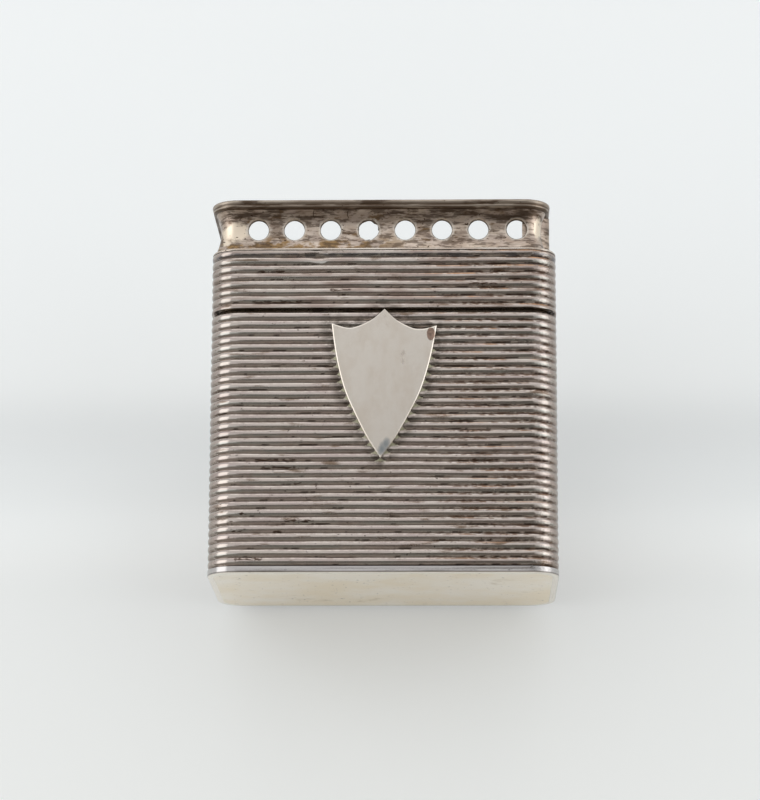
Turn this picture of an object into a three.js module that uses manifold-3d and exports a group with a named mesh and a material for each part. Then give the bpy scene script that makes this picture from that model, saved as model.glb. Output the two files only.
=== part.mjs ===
// A small silver sponge box: a reeded body and a hinged reeded lid that carries a pierced gallery.
// Millimetres. X runs to the right seen from the front, -Y is the front, +Z is up.
// The origin is the centre of the base.
import * as THREE from 'three';
import { mergeVertices } from 'three/addons/utils/BufferGeometryUtils.js';
import Module from 'manifold-3d';

const wasm = await Module();
wasm.setup();

// Overall plan: every ring of the box follows this rounded rectangle, moved inwards
const WIDTH = 32.2;
const DEPTH = 18.0;
const CORNER_RADIUS = 2.7;
const CORNER_STEPS = 4;

// Reeding, the same on the body and on the lid
const REED_PITCH = 0.743;
const REED_DEPTH = 0.15;
const REED_CREST_START = 0.28;
const REED_CREST_END = 0.72;
const BODY_REEDS = 32;
// The lid's wall is cut from the sheet part of the way up a reed, so it starts after this share of one
const LID_REED_COUNT = 7.45;
const LID_CUT_SHARE = 0.38;

// Sheet and seams
const WALL_INSET = 0.6;
const SEAM_GAP = 0.4;
const SOLDER_GAP = 0.04;

// Foot and base plate
const FOOT_BAND_HEIGHT = 0.694;
const FOOT_EDGE_BEVEL = 0.08;
const FOOT_GROOVE_HEIGHT = 0.2;
const BASE_THICKNESS = 0.5;
const BASE_EDGE_BEVEL = 0.08;

// Bezel inside the mouth of the body
const BEZEL_THICKNESS = 0.3;
const BEZEL_DEPTH_IN_BODY = 2.0;
const BEZEL_HEIGHT_IN_LID = 1.9;
const BEZEL_SWING_CLEARANCE = 0.35;

// Lid top plate
const TOP_THICKNESS = 0.29;
const TOP_EDGE_INSET = 0.05;
const TOP_EDGE_ROUND = 0.16;
const TOP_EDGE_SHOULDER = 0.3;

// Gallery: how far the neck stands in from the plan, from its foot to its top
const GALLERY_SHIFT_X = -0.3;
const GALLERY_HEIGHT = 3.85;
const GALLERY_THICKNESS = 0.35;
const GALLERY_FOOT_INSET = 0.62;
const GALLERY_WAIST_INSET = 1.12;
const GALLERY_TOP_INSET = 0.65;
const GALLERY_WAIST_LEVEL = 0.58;
const GALLERY_STEPS = 6;

// The plain length of the strip: it starts lapped behind the front and makes the right side
const LAP_START_FROM_END = 2.87;
const LAP_FUSE = 0.06;
const PLAIN_SIDE_INSET = 0.25;
const PLAIN_BEND_LENGTH = 1.9;
const PLAIN_BEND_STEPS = 6;
const PLAIN_BACK_LAP = 0.8;

// Gallery holes. A margin runs from the end of the plan to the middle of the first hole.
const HOLE_RADIUS = 0.935;
const HOLE_HEIGHT_SHARE = 0.52;
const FRONT_HOLES = 8;
const FRONT_HOLE_MARGIN = 4.06;
const LEFT_HOLES = 4;
const RIGHT_HOLES = 3;
const SIDE_HOLE_MARGIN = 4.35;
const HOLE_ROW_SHIFT_X = 0.33;
const HOLE_SIDES = 16;

// Gallery rim, a moulded wire. Each share is [how far into the relief, how far up the rim].
const RIM_HEIGHT = 0.85;
const RIM_OUTER_INSET = 0.25;
const RIM_INNER_OVERHANG = 0.25;
const RIM_RELIEF = 0.14;
const RIM_MOULDING_SHARES = [
  [0.85, 0.18],
  [0.4, 0.32],
  [0.7, 0.42],
  [1, 0.52],
  [0, 0.64],
  [0, 0.84],
  [0.85, 1],
];

// Shield, measured from its lower tip
const SHIELD_THICKNESS = 0.32;
const SHIELD_TIP_X = -0.2;
const SHIELD_TIP_BELOW_MOUTH = 13.92;
const SHIELD_TILT_DEG = 1.4;
const SHIELD_SIDE = [
  [0, 0],
  [1.3, 1.95],
  [2.46, 4.15],
  [3.44, 6.3],
  [4.12, 8.6],
  [4.56, 10.75],
  [4.84, 12.62],
];
const SHIELD_TOP = [[4.84, 12.62], [3.5, 12.25], [2.5, 12.38], [1.1, 13.1], [0, 14.12]];
const SHIELD_SIDE_STEPS = 10;
const SHIELD_TOP_STEPS = 7;

// Hinge on the back
const HINGE_END_MARGIN = 0.4;
const KNUCKLE_RADIUS = 0.6;
const KNUCKLE_GAP = 0.16;
const KNUCKLE_COUNT = 5;
const KNUCKLE_SIDES = 18;
const PIN_RADIUS = 0.3;
const PIN_CLEARANCE = 0.06;
const HINGE_AXIS_OUTSET = 0.1;
const NOTCH_SIDE_CLEARANCE = 0.15;

// Levels and positions that follow from the sizes above
const BODY_TOP_Z = FOOT_BAND_HEIGHT + BODY_REEDS * REED_PITCH;
const LID_BOTTOM_Z = BODY_TOP_Z + SEAM_GAP;
const LID_TOP_Z = LID_BOTTOM_Z + LID_REED_COUNT * REED_PITCH;
const GALLERY_FOOT_Z = LID_TOP_Z + TOP_THICKNESS;
const GALLERY_TOP_Z = GALLERY_FOOT_Z + GALLERY_HEIGHT;
const HOLE_Z = GALLERY_FOOT_Z + HOLE_HEIGHT_SHARE * GALLERY_HEIGHT;
const FRONT_HOLE_PITCH = (WIDTH - 2 * FRONT_HOLE_MARGIN) / (FRONT_HOLES - 1);
const SIDE_HOLE_PITCH = (DEPTH - 2 * SIDE_HOLE_MARGIN) / (LEFT_HOLES - 1);
const CORNER_X = WIDTH / 2 - CORNER_RADIUS;
const CORNER_Y = DEPTH / 2 - CORNER_RADIUS;
const PLAIN_BACK_Y = CORNER_Y - PLAIN_BACK_LAP;
const SHIELD_TIP_Z = BODY_TOP_Z - SHIELD_TIP_BELOW_MOUTH;
const HINGE_Y = DEPTH / 2 + HINGE_AXIS_OUTSET;
const HINGE_Z = BODY_TOP_Z + SEAM_GAP / 2;
const HINGE_LENGTH = WIDTH - 2 * (CORNER_RADIUS + HINGE_END_MARGIN);
const KNUCKLE_LENGTH = (HINGE_LENGTH - (KNUCKLE_COUNT - 1) * KNUCKLE_GAP) / KNUCKLE_COUNT;

const silver = { color: 0xb9b0a4, roughness: 0.35, metalness: 1.0 };
const darkSilver = { color: 0x9a8f7e, roughness: 0.45, metalness: 1.0 };
const satinSilver = { color: 0xc8c1ba, roughness: 0.4, metalness: 1.0 };

function namedMesh(name, geometry, look) {
  const mesh = new THREE.Mesh(geometry, new THREE.MeshStandardMaterial(look));
  mesh.name = name;
  return mesh;
}

// Corner points of the plan moved inwards by inset, anticlockwise seen from above
function planOutline(inset) {
  const radius = CORNER_RADIUS - inset;
  const corners = [
    [CORNER_X, -CORNER_Y, -90],
    [CORNER_X, CORNER_Y, 0],
    [-CORNER_X, CORNER_Y, 90],
    [-CORNER_X, -CORNER_Y, 180],
  ];
  const points = [];
  for (const [cx, cy, start] of corners) {
    for (let i = 0; i <= CORNER_STEPS; i += 1) {
      const angle = THREE.MathUtils.degToRad(start + (90 * i) / CORNER_STEPS);
      points.push([cx + radius * Math.cos(angle), cy + radius * Math.sin(angle)]);
    }
  }
  return points;
}

function indexedGeometry(positions, indices) {
  const geometry = new THREE.BufferGeometry();
  geometry.setAttribute('position', new THREE.Float32BufferAttribute(positions, 3));
  geometry.setIndex(indices);
  geometry.computeVertexNormals();
  return geometry;
}

// A closed ring round the plan. Its section is a loop of [inset, z] points that runs up the outside
// and down the inside.
function planRing(section) {
  const positions = [];
  const indices = [];
  const count = planOutline(0).length;
  for (const [inset, z] of section) {
    for (const [x, y] of planOutline(inset)) {
      positions.push(x, y, z);
    }
  }
  for (let s = 0; s < section.length; s += 1) {
    const low = s * count;
    const high = ((s + 1) % section.length) * count;
    for (let i = 0; i < count; i += 1) {
      const j = (i + 1) % count;
      indices.push(low + i, low + j, high + j, low + i, high + j, high + i);
    }
  }
  return indexedGeometry(positions, indices);
}

// A solid plate in the plan. Its edge is a list of [inset, z] points from the bottom to the top.
function planPlate(edge) {
  const positions = [];
  const indices = [];
  const count = planOutline(0).length;
  for (const [inset, z] of edge) {
    for (const [x, y] of planOutline(inset)) {
      positions.push(x, y, z);
    }
  }
  for (let s = 0; s + 1 < edge.length; s += 1) {
    for (let i = 0; i < count; i += 1) {
      const j = (i + 1) % count;
      const low = s * count;
      const high = low + count;
      indices.push(low + i, low + j, high + j, low + i, high + j, high + i);
    }
  }
  const bottomCentre = positions.length / 3;
  positions.push(0, 0, edge[0][1]);
  positions.push(0, 0, edge[edge.length - 1][1]);
  const topRing = (edge.length - 1) * count;
  for (let i = 0; i < count; i += 1) {
    const j = (i + 1) % count;
    indices.push(bottomCentre, j, i);
    indices.push(bottomCentre + 1, topRing + i, topRing + j);
  }
  return indexedGeometry(positions, indices);
}

// How far the wall stands in at a share of a reed: flat-topped ridges with narrow grooves between
function reedInset(share) {
  if (share < REED_CREST_START) {
    return REED_DEPTH * (1 - share / REED_CREST_START);
  }
  return REED_DEPTH * Math.max(0, (share - REED_CREST_END) / (1 - REED_CREST_END));
}

// Outside of a reeded wall, up from startZ. It starts after a share of a reed and is count reeds high.
function reededSide(startZ, startShare, count) {
  const end = startShare + count;
  const stations = [startShare];
  for (let reed = 0; reed < end; reed += 1) {
    const corners = [reed, reed + REED_CREST_START, reed + REED_CREST_END];
    stations.push(...corners.filter((station) => station > startShare && station < end));
  }
  stations.push(end);
  return stations.map((station) => [
    reedInset(station - Math.floor(station)),
    startZ + (station - startShare) * REED_PITCH,
  ]);
}

// Boolean helpers
function toManifold(geometry) {
  const plain = geometry.clone();
  plain.deleteAttribute('normal');
  plain.deleteAttribute('uv');
  const merged = mergeVertices(plain, 1e-5);
  return new wasm.Manifold(new wasm.Mesh({
    numProp: 3,
    vertProperties: new Float32Array(merged.getAttribute('position').array),
    triVerts: new Uint32Array(merged.getIndex().array),
  }));
}

function fromManifold(solid) {
  const mesh = solid.getMesh();
  return indexedGeometry(Array.from(mesh.vertProperties), Array.from(mesh.triVerts));
}

// The gap in the back wall that the hinge lies in
function hingeNotch() {
  const notch = new THREE.BoxGeometry(
    HINGE_LENGTH + 2 * NOTCH_SIDE_CLEARANCE,
    4 * WALL_INSET,
    2 * (KNUCKLE_RADIUS + SOLDER_GAP),
  );
  notch.translate(0, DEPTH / 2, HINGE_Z);
  return toManifold(notch);
}

// Body
function bodyShell() {
  const section = [
    [FOOT_EDGE_BEVEL, 0],
    [0, 2 * FOOT_EDGE_BEVEL],
    [0, FOOT_BAND_HEIGHT - FOOT_GROOVE_HEIGHT],
    ...reededSide(FOOT_BAND_HEIGHT, 0, BODY_REEDS),
    [WALL_INSET, BODY_TOP_Z],
    [WALL_INSET, 0],
  ];
  return fromManifold(toManifold(planRing(section)).subtract(hingeNotch()));
}

function basePlate() {
  const inset = WALL_INSET + SOLDER_GAP;
  return planPlate([
    [inset + BASE_EDGE_BEVEL, 0],
    [inset, BASE_EDGE_BEVEL],
    [inset, BASE_THICKNESS],
  ]);
}

function bodyBezel() {
  const outer = WALL_INSET + SOLDER_GAP;
  const topOuter = WALL_INSET + BEZEL_SWING_CLEARANCE;
  const inner = topOuter + BEZEL_THICKNESS;
  return planRing([
    [outer, BODY_TOP_Z - BEZEL_DEPTH_IN_BODY],
    [outer, BODY_TOP_Z],
    [topOuter, BODY_TOP_Z + BEZEL_HEIGHT_IN_LID],
    [inner, BODY_TOP_Z + BEZEL_HEIGHT_IN_LID],
    [inner, BODY_TOP_Z - BEZEL_DEPTH_IN_BODY],
  ]);
}

function splinePoints(points, steps) {
  const curve = new THREE.SplineCurve(points.map(([x, y]) => new THREE.Vector2(x, y)));
  return curve.getPoints(steps);
}

// The shield is drawn flat from its tip, turned a little in its own plane and stood against the reeds
function shieldCartouche() {
  const side = splinePoints(SHIELD_SIDE, SHIELD_SIDE_STEPS);
  const top = splinePoints(SHIELD_TOP, SHIELD_TOP_STEPS);
  const half = [...side, ...top.slice(1)];
  const otherHalf = half.slice(1, -1).reverse().map((p) => new THREE.Vector2(-p.x, p.y));
  const shape = new THREE.Shape([...half, ...otherHalf]);
  const plate = new THREE.ExtrudeGeometry(shape, { depth: SHIELD_THICKNESS, bevelEnabled: false });
  plate.rotateZ(THREE.MathUtils.degToRad(-SHIELD_TILT_DEG));
  plate.rotateX(Math.PI / 2);
  plate.translate(SHIELD_TIP_X, -DEPTH / 2, SHIELD_TIP_Z);
  return plate;
}

// Lid
function lidShell() {
  const section = [
    ...reededSide(LID_BOTTOM_Z, LID_CUT_SHARE, LID_REED_COUNT),
    [WALL_INSET, LID_TOP_Z],
    [WALL_INSET, LID_BOTTOM_Z],
  ];
  return fromManifold(toManifold(planRing(section)).subtract(hingeNotch()));
}

function lidTopPlate() {
  const shoulder = TOP_EDGE_SHOULDER * TOP_EDGE_ROUND;
  return planPlate([
    [TOP_EDGE_INSET, LID_TOP_Z],
    [TOP_EDGE_INSET, GALLERY_FOOT_Z - TOP_EDGE_ROUND],
    [TOP_EDGE_INSET + shoulder, GALLERY_FOOT_Z - shoulder],
    [TOP_EDGE_INSET + TOP_EDGE_ROUND, GALLERY_FOOT_Z],
  ]);
}

// How far the neck stands in at a share of its height: a smooth hollow curve through foot, waist and top
function neckInset(share) {
  const below = share <= GALLERY_WAIST_LEVEL;
  const end = below ? GALLERY_FOOT_INSET : GALLERY_TOP_INSET;
  const away = below
    ? 1 - share / GALLERY_WAIST_LEVEL
    : (share - GALLERY_WAIST_LEVEL) / (1 - GALLERY_WAIST_LEVEL);
  return GALLERY_WAIST_INSET - (GALLERY_WAIST_INSET - end) * away * away;
}

function neckSection() {
  const outside = [];
  const inside = [];
  for (let i = 0; i <= GALLERY_STEPS; i += 1) {
    const share = i / GALLERY_STEPS;
    const z = GALLERY_FOOT_Z + share * GALLERY_HEIGHT;
    const inset = neckInset(share);
    outside.push([inset, z]);
    inside.unshift([inset + GALLERY_THICKNESS, z]);
  }
  return [...outside, ...inside];
}

function boxBetween(low, high) {
  const size = high.map((value, i) => value - low[i]);
  const box = new THREE.BoxGeometry(...size);
  box.translate(...high.map((value, i) => (value + low[i]) / 2));
  return box;
}

// Outer face of the plain length, seen from above. It starts behind the front, turns the corner,
// steps out to make the right side and steps back in behind the waisted strip.
function plainPath() {
  const radius = CORNER_RADIUS - GALLERY_WAIST_INSET - GALLERY_THICKNESS + LAP_FUSE;
  const innerX = CORNER_X + radius;
  const outwards = WIDTH / 2 - PLAIN_SIDE_INSET - innerX;
  const points = [[WIDTH / 2 - LAP_START_FROM_END, -CORNER_Y - radius]];
  for (let i = 0; i <= CORNER_STEPS; i += 1) {
    const angle = THREE.MathUtils.degToRad(-90 + (90 * i) / CORNER_STEPS);
    points.push([CORNER_X + radius * Math.cos(angle), -CORNER_Y + radius * Math.sin(angle)]);
  }
  const steps = Array.from({ length: PLAIN_BEND_STEPS }, (_, i) => (i + 1) / PLAIN_BEND_STEPS);
  const ease = (share) => outwards * (1 - Math.cos(Math.PI * share)) / 2;
  for (const share of steps) {
    points.push([innerX + ease(share), -CORNER_Y + share * PLAIN_BEND_LENGTH]);
  }
  for (const share of [...steps].reverse()) {
    points.push([innerX + ease(share), PLAIN_BACK_Y - share * PLAIN_BEND_LENGTH]);
  }
  points.push([innerX, PLAIN_BACK_Y], [innerX, CORNER_Y]);
  return points;
}

// The strip stands on its edge, with its thickness to the left of the path
function plainStrip() {
  const path = plainPath();
  const inner = path.map(([x, y], i) => {
    const before = path[Math.max(i - 1, 0)];
    const after = path[Math.min(i + 1, path.length - 1)];
    const run = new THREE.Vector2(after[0] - before[0], after[1] - before[1]).normalize();
    return [x - run.y * GALLERY_THICKNESS, y + run.x * GALLERY_THICKNESS];
  });
  const shape = new THREE.Shape([...path, ...inner.reverse()].map((p) => new THREE.Vector2(...p)));
  const strip = new THREE.ExtrudeGeometry(shape, { depth: GALLERY_HEIGHT, bevelEnabled: false });
  strip.translate(0, 0, GALLERY_FOOT_Z);
  return toManifold(strip);
}

// Punches a row of holes along X or along Y, round a middle point
function punchRow(solid, alongX, count, pitch, middle, length) {
  let pierced = solid;
  for (let i = 0; i < count; i += 1) {
    const along = (i - (count - 1) / 2) * pitch;
    const cutter = new THREE.CylinderGeometry(HOLE_RADIUS, HOLE_RADIUS, length, HOLE_SIDES);
    if (!alongX) {
      cutter.rotateZ(Math.PI / 2);
    }
    cutter.translate(middle[0] + (alongX ? along : 0), middle[1] + (alongX ? 0 : along), HOLE_Z);
    pierced = pierced.subtract(toManifold(cutter));
  }
  return pierced;
}

// The row along X goes through the front and the back. Each side has its own row.
function gallery() {
  const plainSide = boxBetween([CORNER_X, -CORNER_Y, 0], [WIDTH, PLAIN_BACK_Y, 2 * GALLERY_TOP_Z]);
  const rowMiddle = [HOLE_ROW_SHIFT_X - GALLERY_SHIFT_X, 0];
  const rightMiddle = [WIDTH / 2, -PLAIN_BACK_LAP / 2];
  let waisted = toManifold(planRing(neckSection())).subtract(toManifold(plainSide));
  waisted = punchRow(waisted, true, FRONT_HOLES, FRONT_HOLE_PITCH, rowMiddle, 2 * DEPTH);
  waisted = punchRow(waisted, false, LEFT_HOLES, SIDE_HOLE_PITCH, [-WIDTH / 2, 0], WIDTH / 2);
  const plain = punchRow(plainStrip(), false, RIGHT_HOLES, SIDE_HOLE_PITCH, rightMiddle, WIDTH / 2);
  const geometry = fromManifold(waisted.add(plain));
  geometry.translate(GALLERY_SHIFT_X, 0, 0);
  return geometry;
}

// The wire has a round nose on top, a groove and a second smaller bead below it
function galleryRim() {
  const neckInside = GALLERY_TOP_INSET + GALLERY_THICKNESS;
  const inner = neckInside + RIM_INNER_OVERHANG;
  const topZ = GALLERY_TOP_Z + RIM_HEIGHT;
  const geometry = planRing([
    [GALLERY_TOP_INSET, GALLERY_TOP_Z],
    ...RIM_MOULDING_SHARES.map(([relief, share]) => [
      RIM_OUTER_INSET + relief * RIM_RELIEF,
      GALLERY_TOP_Z + share * RIM_HEIGHT,
    ]),
    [inner - RIM_RELIEF, topZ],
    [inner, topZ - RIM_RELIEF],
    [neckInside, GALLERY_TOP_Z],
  ]);
  geometry.translate(GALLERY_SHIFT_X, 0, 0);
  return geometry;
}

// Hinge
function hingeKnuckle(index) {
  const bore = PIN_RADIUS + PIN_CLEARANCE;
  const half = KNUCKLE_LENGTH / 2;
  const profile = [
    new THREE.Vector2(bore, -half),
    new THREE.Vector2(KNUCKLE_RADIUS, -half),
    new THREE.Vector2(KNUCKLE_RADIUS, half),
    new THREE.Vector2(bore, half),
    new THREE.Vector2(bore, -half),
  ];
  const tube = new THREE.LatheGeometry(profile, KNUCKLE_SIDES);
  tube.rotateZ(-Math.PI / 2);
  tube.translate((index - (KNUCKLE_COUNT - 1) / 2) * (KNUCKLE_LENGTH + KNUCKLE_GAP), HINGE_Y, HINGE_Z);
  return tube;
}

function hingePin() {
  const pin = new THREE.CylinderGeometry(PIN_RADIUS, PIN_RADIUS, HINGE_LENGTH, KNUCKLE_SIDES);
  pin.rotateZ(Math.PI / 2);
  pin.translate(0, HINGE_Y, HINGE_Z);
  return pin;
}

const KNUCKLE_NAMES = [
  'hinge_knuckle_body_left',
  'hinge_knuckle_lid_left',
  'hinge_knuckle_body_centre',
  'hinge_knuckle_lid_right',
  'hinge_knuckle_body_right',
];

function buildBox() {
  const box = new THREE.Group();
  box.name = 'sponge_box';
  box.add(namedMesh('body_shell', bodyShell(), silver));
  box.add(namedMesh('base_plate', basePlate(), satinSilver));
  box.add(namedMesh('body_bezel', bodyBezel(), darkSilver));
  box.add(namedMesh('shield_cartouche', shieldCartouche(), satinSilver));
  box.add(namedMesh('lid_shell', lidShell(), silver));
  box.add(namedMesh('lid_top_plate', lidTopPlate(), silver));
  box.add(namedMesh('gallery', gallery(), darkSilver));
  box.add(namedMesh('gallery_rim', galleryRim(), silver));
  KNUCKLE_NAMES.forEach((name, index) => {
    box.add(namedMesh(name, hingeKnuckle(index), silver));
  });
  box.add(namedMesh('hinge_pin', hingePin(), darkSilver));
  return box;
}

export default buildBox();
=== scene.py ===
"""A small silver sponge box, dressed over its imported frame.

The body and the hinged lid are wrapped in reeded sheet, a plain shield is soldered on the front,
and a pierced, waisted gallery with a moulded rim stands on the lid. Sizes in this file are
millimetres and become metres in the meshes. X runs to the right seen from the front, -Y is the
front and +Z is up.
"""

from __future__ import annotations

import logging
import math
import sys
from collections.abc import Callable, Iterable, Sequence
from dataclasses import dataclass, field
from enum import Enum
from typing import Any

import bmesh
import bpy
from mathutils import Matrix, Vector
from mathutils.geometry import tessellate_polygon

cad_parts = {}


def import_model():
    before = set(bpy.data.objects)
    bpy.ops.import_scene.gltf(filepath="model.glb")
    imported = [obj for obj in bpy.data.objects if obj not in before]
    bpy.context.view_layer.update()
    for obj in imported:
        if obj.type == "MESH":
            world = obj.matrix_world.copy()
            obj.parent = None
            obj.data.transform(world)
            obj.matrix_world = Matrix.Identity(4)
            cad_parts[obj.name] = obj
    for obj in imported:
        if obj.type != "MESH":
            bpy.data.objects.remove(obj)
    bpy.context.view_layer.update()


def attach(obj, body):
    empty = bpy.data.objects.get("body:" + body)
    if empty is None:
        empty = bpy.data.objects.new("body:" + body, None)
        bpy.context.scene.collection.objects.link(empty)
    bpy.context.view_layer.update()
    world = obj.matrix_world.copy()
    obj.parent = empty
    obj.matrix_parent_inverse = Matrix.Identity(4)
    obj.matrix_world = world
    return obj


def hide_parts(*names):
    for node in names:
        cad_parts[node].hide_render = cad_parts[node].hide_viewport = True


MM = 0.001
PER_MM = 1.0 / MM
HAIR = 0.01 * MM
DOUBLE = 1e-4 * MM
log = logging.getLogger("sponge_box")

Piece = bpy.types.Object
Material = bpy.types.Material
Point2 = tuple[float, float]
Point3 = tuple[float, float, float]
Colour = tuple[float, float, float]


class Body(Enum):
    """The moving bodies of the frame."""

    BOX = "box_body"
    LID = "lid"


class Slot(Enum):
    """The record's material slots."""

    REEDED = "reeded_silver"
    PLATE = "plate_silver"
    BEZEL = "bezel_silver"
    SHIELD = "shield_silver"
    GALLERY = "gallery_silver"
    RIM = "rim_silver"
    HINGE = "hinge_silver"


def linear(colour: Colour) -> tuple[float, float, float, float]:
    """Turns a colour of three 0 to 255 screen values into linear light.

    Args:
        colour: red, green and blue as a screen shows them.

    Returns:
        The linear colour with an alpha of 1.
    """
    shares = [value / 255 for value in colour]
    light = [s / 12.92 if s <= 0.04045 else ((s + 0.055) / 1.055) ** 2.4 for s in shares]
    return (light[0], light[1], light[2], 1.0)


def metres(point: Iterable[float]) -> tuple[float, ...]:
    """Turns a point in millimetres into metres."""
    return tuple(value * MM for value in point)


def stations(start: float, end: float, step: float) -> list[float]:
    """Divides a run into equal steps near the wanted one.

    Args:
        start: where the run starts.
        end: where it ends.
        step: the wanted step.

    Returns:
        The stations from start to end, both included.
    """
    count = max(1, round(abs(end - start) / step))
    return [start + (end - start) * i / count for i in range(count + 1)]


def linked(name: str, data: Any) -> Piece:
    """Puts a new object in the scene.

    Args:
        name: the object's name.
        data: its mesh, curve, light or camera.

    Returns:
        The object.
    """
    piece = bpy.data.objects.new(name, data)
    bpy.context.scene.collection.objects.link(piece)
    return piece


def ring_faces(low: int, high: int, count: int) -> list[tuple[int, ...]]:
    """Joins two rings of points, given by their first numbers, into a band of faces."""
    return [(low + i, low + (i + 1) % count, high + (i + 1) % count, high + i) for i in range(count)]


def operator(operation: str, swapped: bool = False) -> Callable[[Wire, Any], Wire]:
    """Makes an arithmetic operator that adds a Math node.

    Args:
        operation: the node's operation.
        swapped: whether the wire is the second value.

    Returns:
        The operator.
    """

    def apply(wire: Wire, other: Any) -> Wire:
        """Adds the node on the two values."""
        first, second = (other, wire) if swapped else (wire, other)
        return wire.tree.math(operation, first, second)

    return apply


class Wire:
    """A value in a node tree; plain arithmetic on it adds the nodes that work it out."""

    def __init__(self, tree: TreeBuilder, socket: bpy.types.NodeSocket) -> None:
        """Keeps the socket that gives the value and the builder of its tree."""
        self.tree = tree
        self.socket = socket

    __add__ = __radd__ = operator("ADD")
    __sub__ = operator("SUBTRACT")
    __rsub__ = operator("SUBTRACT", swapped=True)
    __mul__ = __rmul__ = operator("MULTIPLY")
    __truediv__ = operator("DIVIDE")
    __pow__ = operator("POWER")

    def __abs__(self) -> Wire:
        """Drops the value's sign."""
        return self.tree.math("ABSOLUTE", self)


class TreeBuilder:
    """Adds nodes to a node tree and wires them in the same call."""

    def __init__(self, tree: bpy.types.NodeTree) -> None:
        """Keeps the tree that the nodes go into."""
        self.tree = tree

    def add(
        self, kind: str, inputs: dict[str | int, Any] | None = None, **settings: Any
    ) -> bpy.types.Node:
        """Adds one node.

        Args:
            kind: the node's type name.
            inputs: a value, node or wire for each input, by its name or number.
            **settings: the node's own properties.

        Returns:
            The new node.
        """
        node = self.tree.nodes.new(kind)
        for name, value in settings.items():
            setattr(node, name, value)
        for key, value in (inputs or {}).items():
            self.feed(node.inputs[key], value)
        return node

    def feed(self, socket: bpy.types.NodeSocket, value: Any) -> None:
        """Links or sets one input.

        Args:
            socket: the input.
            value: a node, whose first output is taken, a wire, or a plain value.
        """
        if isinstance(value, bpy.types.Node):
            value = Wire(self, next(out for out in value.outputs if out.enabled))
        if isinstance(value, Wire):
            self.tree.links.new(value.socket, socket)
        else:
            socket.default_value = value

    def wire(self, kind: str, output: str | int, *inputs: Any, **settings: Any) -> Wire:
        """Adds one node, as add does, and gives one of its outputs."""
        return Wire(self, self.add(kind, *inputs, **settings).outputs[output])

    def math(self, operation: str, *values: Any) -> Wire:
        """Adds a Math node on up to three values and gives its result."""
        return self.wire("ShaderNodeMath", 0, dict(enumerate(values)), operation=operation)

    def vector(self, operation: str, first: Any, second: Any) -> Wire:
        """Adds a Vector Math node on two vectors, or on a vector and a scale."""
        inputs = {0: first, "Scale" if operation == "SCALE" else 1: second}
        return self.wire("ShaderNodeVectorMath", "Vector", inputs, operation=operation)

    def axis(self, name: str, vector: Any) -> Wire:
        """Gives one axis of a vector."""
        return self.wire("ShaderNodeSeparateXYZ", name, {0: vector})

    def length(self, vector: Any) -> Wire:
        """Gives a vector's length."""
        return self.wire("ShaderNodeVectorMath", "Value", {0: vector}, operation="LENGTH")

    def smooth(self, value: Any, low: Any, high: Any, start: float = 0.0, end: float = 1.0) -> Wire:
        """Goes smoothly from start to end while value goes from low to high."""
        sizes = {"Value": value, 1: low, 2: high, 3: start, 4: end}
        return self.wire("ShaderNodeMapRange", 0, sizes, interpolation_type="SMOOTHSTEP")

    def fade(self, value: Any, low: Any, high: Any) -> Wire:
        """Falls smoothly from 1 to 0 while value goes from low to high."""
        return self.smooth(value, low, high, 1.0, 0.0)

    def mix(self, share: Any, first: Any, second: Any) -> Wire:
        """Blends two colours.

        Args:
            share: how much of the second there is.
            first: a colour of 0 to 255 values, or a wire.
            second: a colour of 0 to 255 values, or a wire.

        Returns:
            The blend.
        """
        ends = [linear(end) if isinstance(end, tuple) else end for end in (first, second)]
        inputs = {0: share, 6: ends[0], 7: ends[1]}
        return self.wire("ShaderNodeMix", 2, inputs, data_type="RGBA")

    def cells(self, place: Any, per_mm: Point3, detail: float, shift: float) -> Wire:
        """Adds a noise whose cells are counted per millimetre.

        Args:
            place: the vector that the noise follows, in metres.
            per_mm: cells per millimetre along X, Y and Z.
            detail: how many finer layers it has.
            shift: moves the noise, so that no two are alike.

        Returns:
            The noise, about 0.5 on average.
        """
        stretched = self.vector("MULTIPLY", place, tuple(value * PER_MM for value in per_mm))
        moved = self.vector("ADD", stretched, (shift, 1.7 * shift, 2.3 * shift))
        noise = {"Vector": moved, "Scale": 1.0, "Detail": detail, "Roughness": 0.6}
        return self.wire("ShaderNodeTexNoise", 0, noise)


def empty_tree(owner: Material | bpy.types.World) -> TreeBuilder:
    """Gives a material or the world an empty node tree.

    Args:
        owner: the material or the world.

    Returns:
        The tree's builder.
    """
    owner.use_nodes = True
    owner.node_tree.nodes.clear()
    return TreeBuilder(owner.node_tree)


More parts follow.
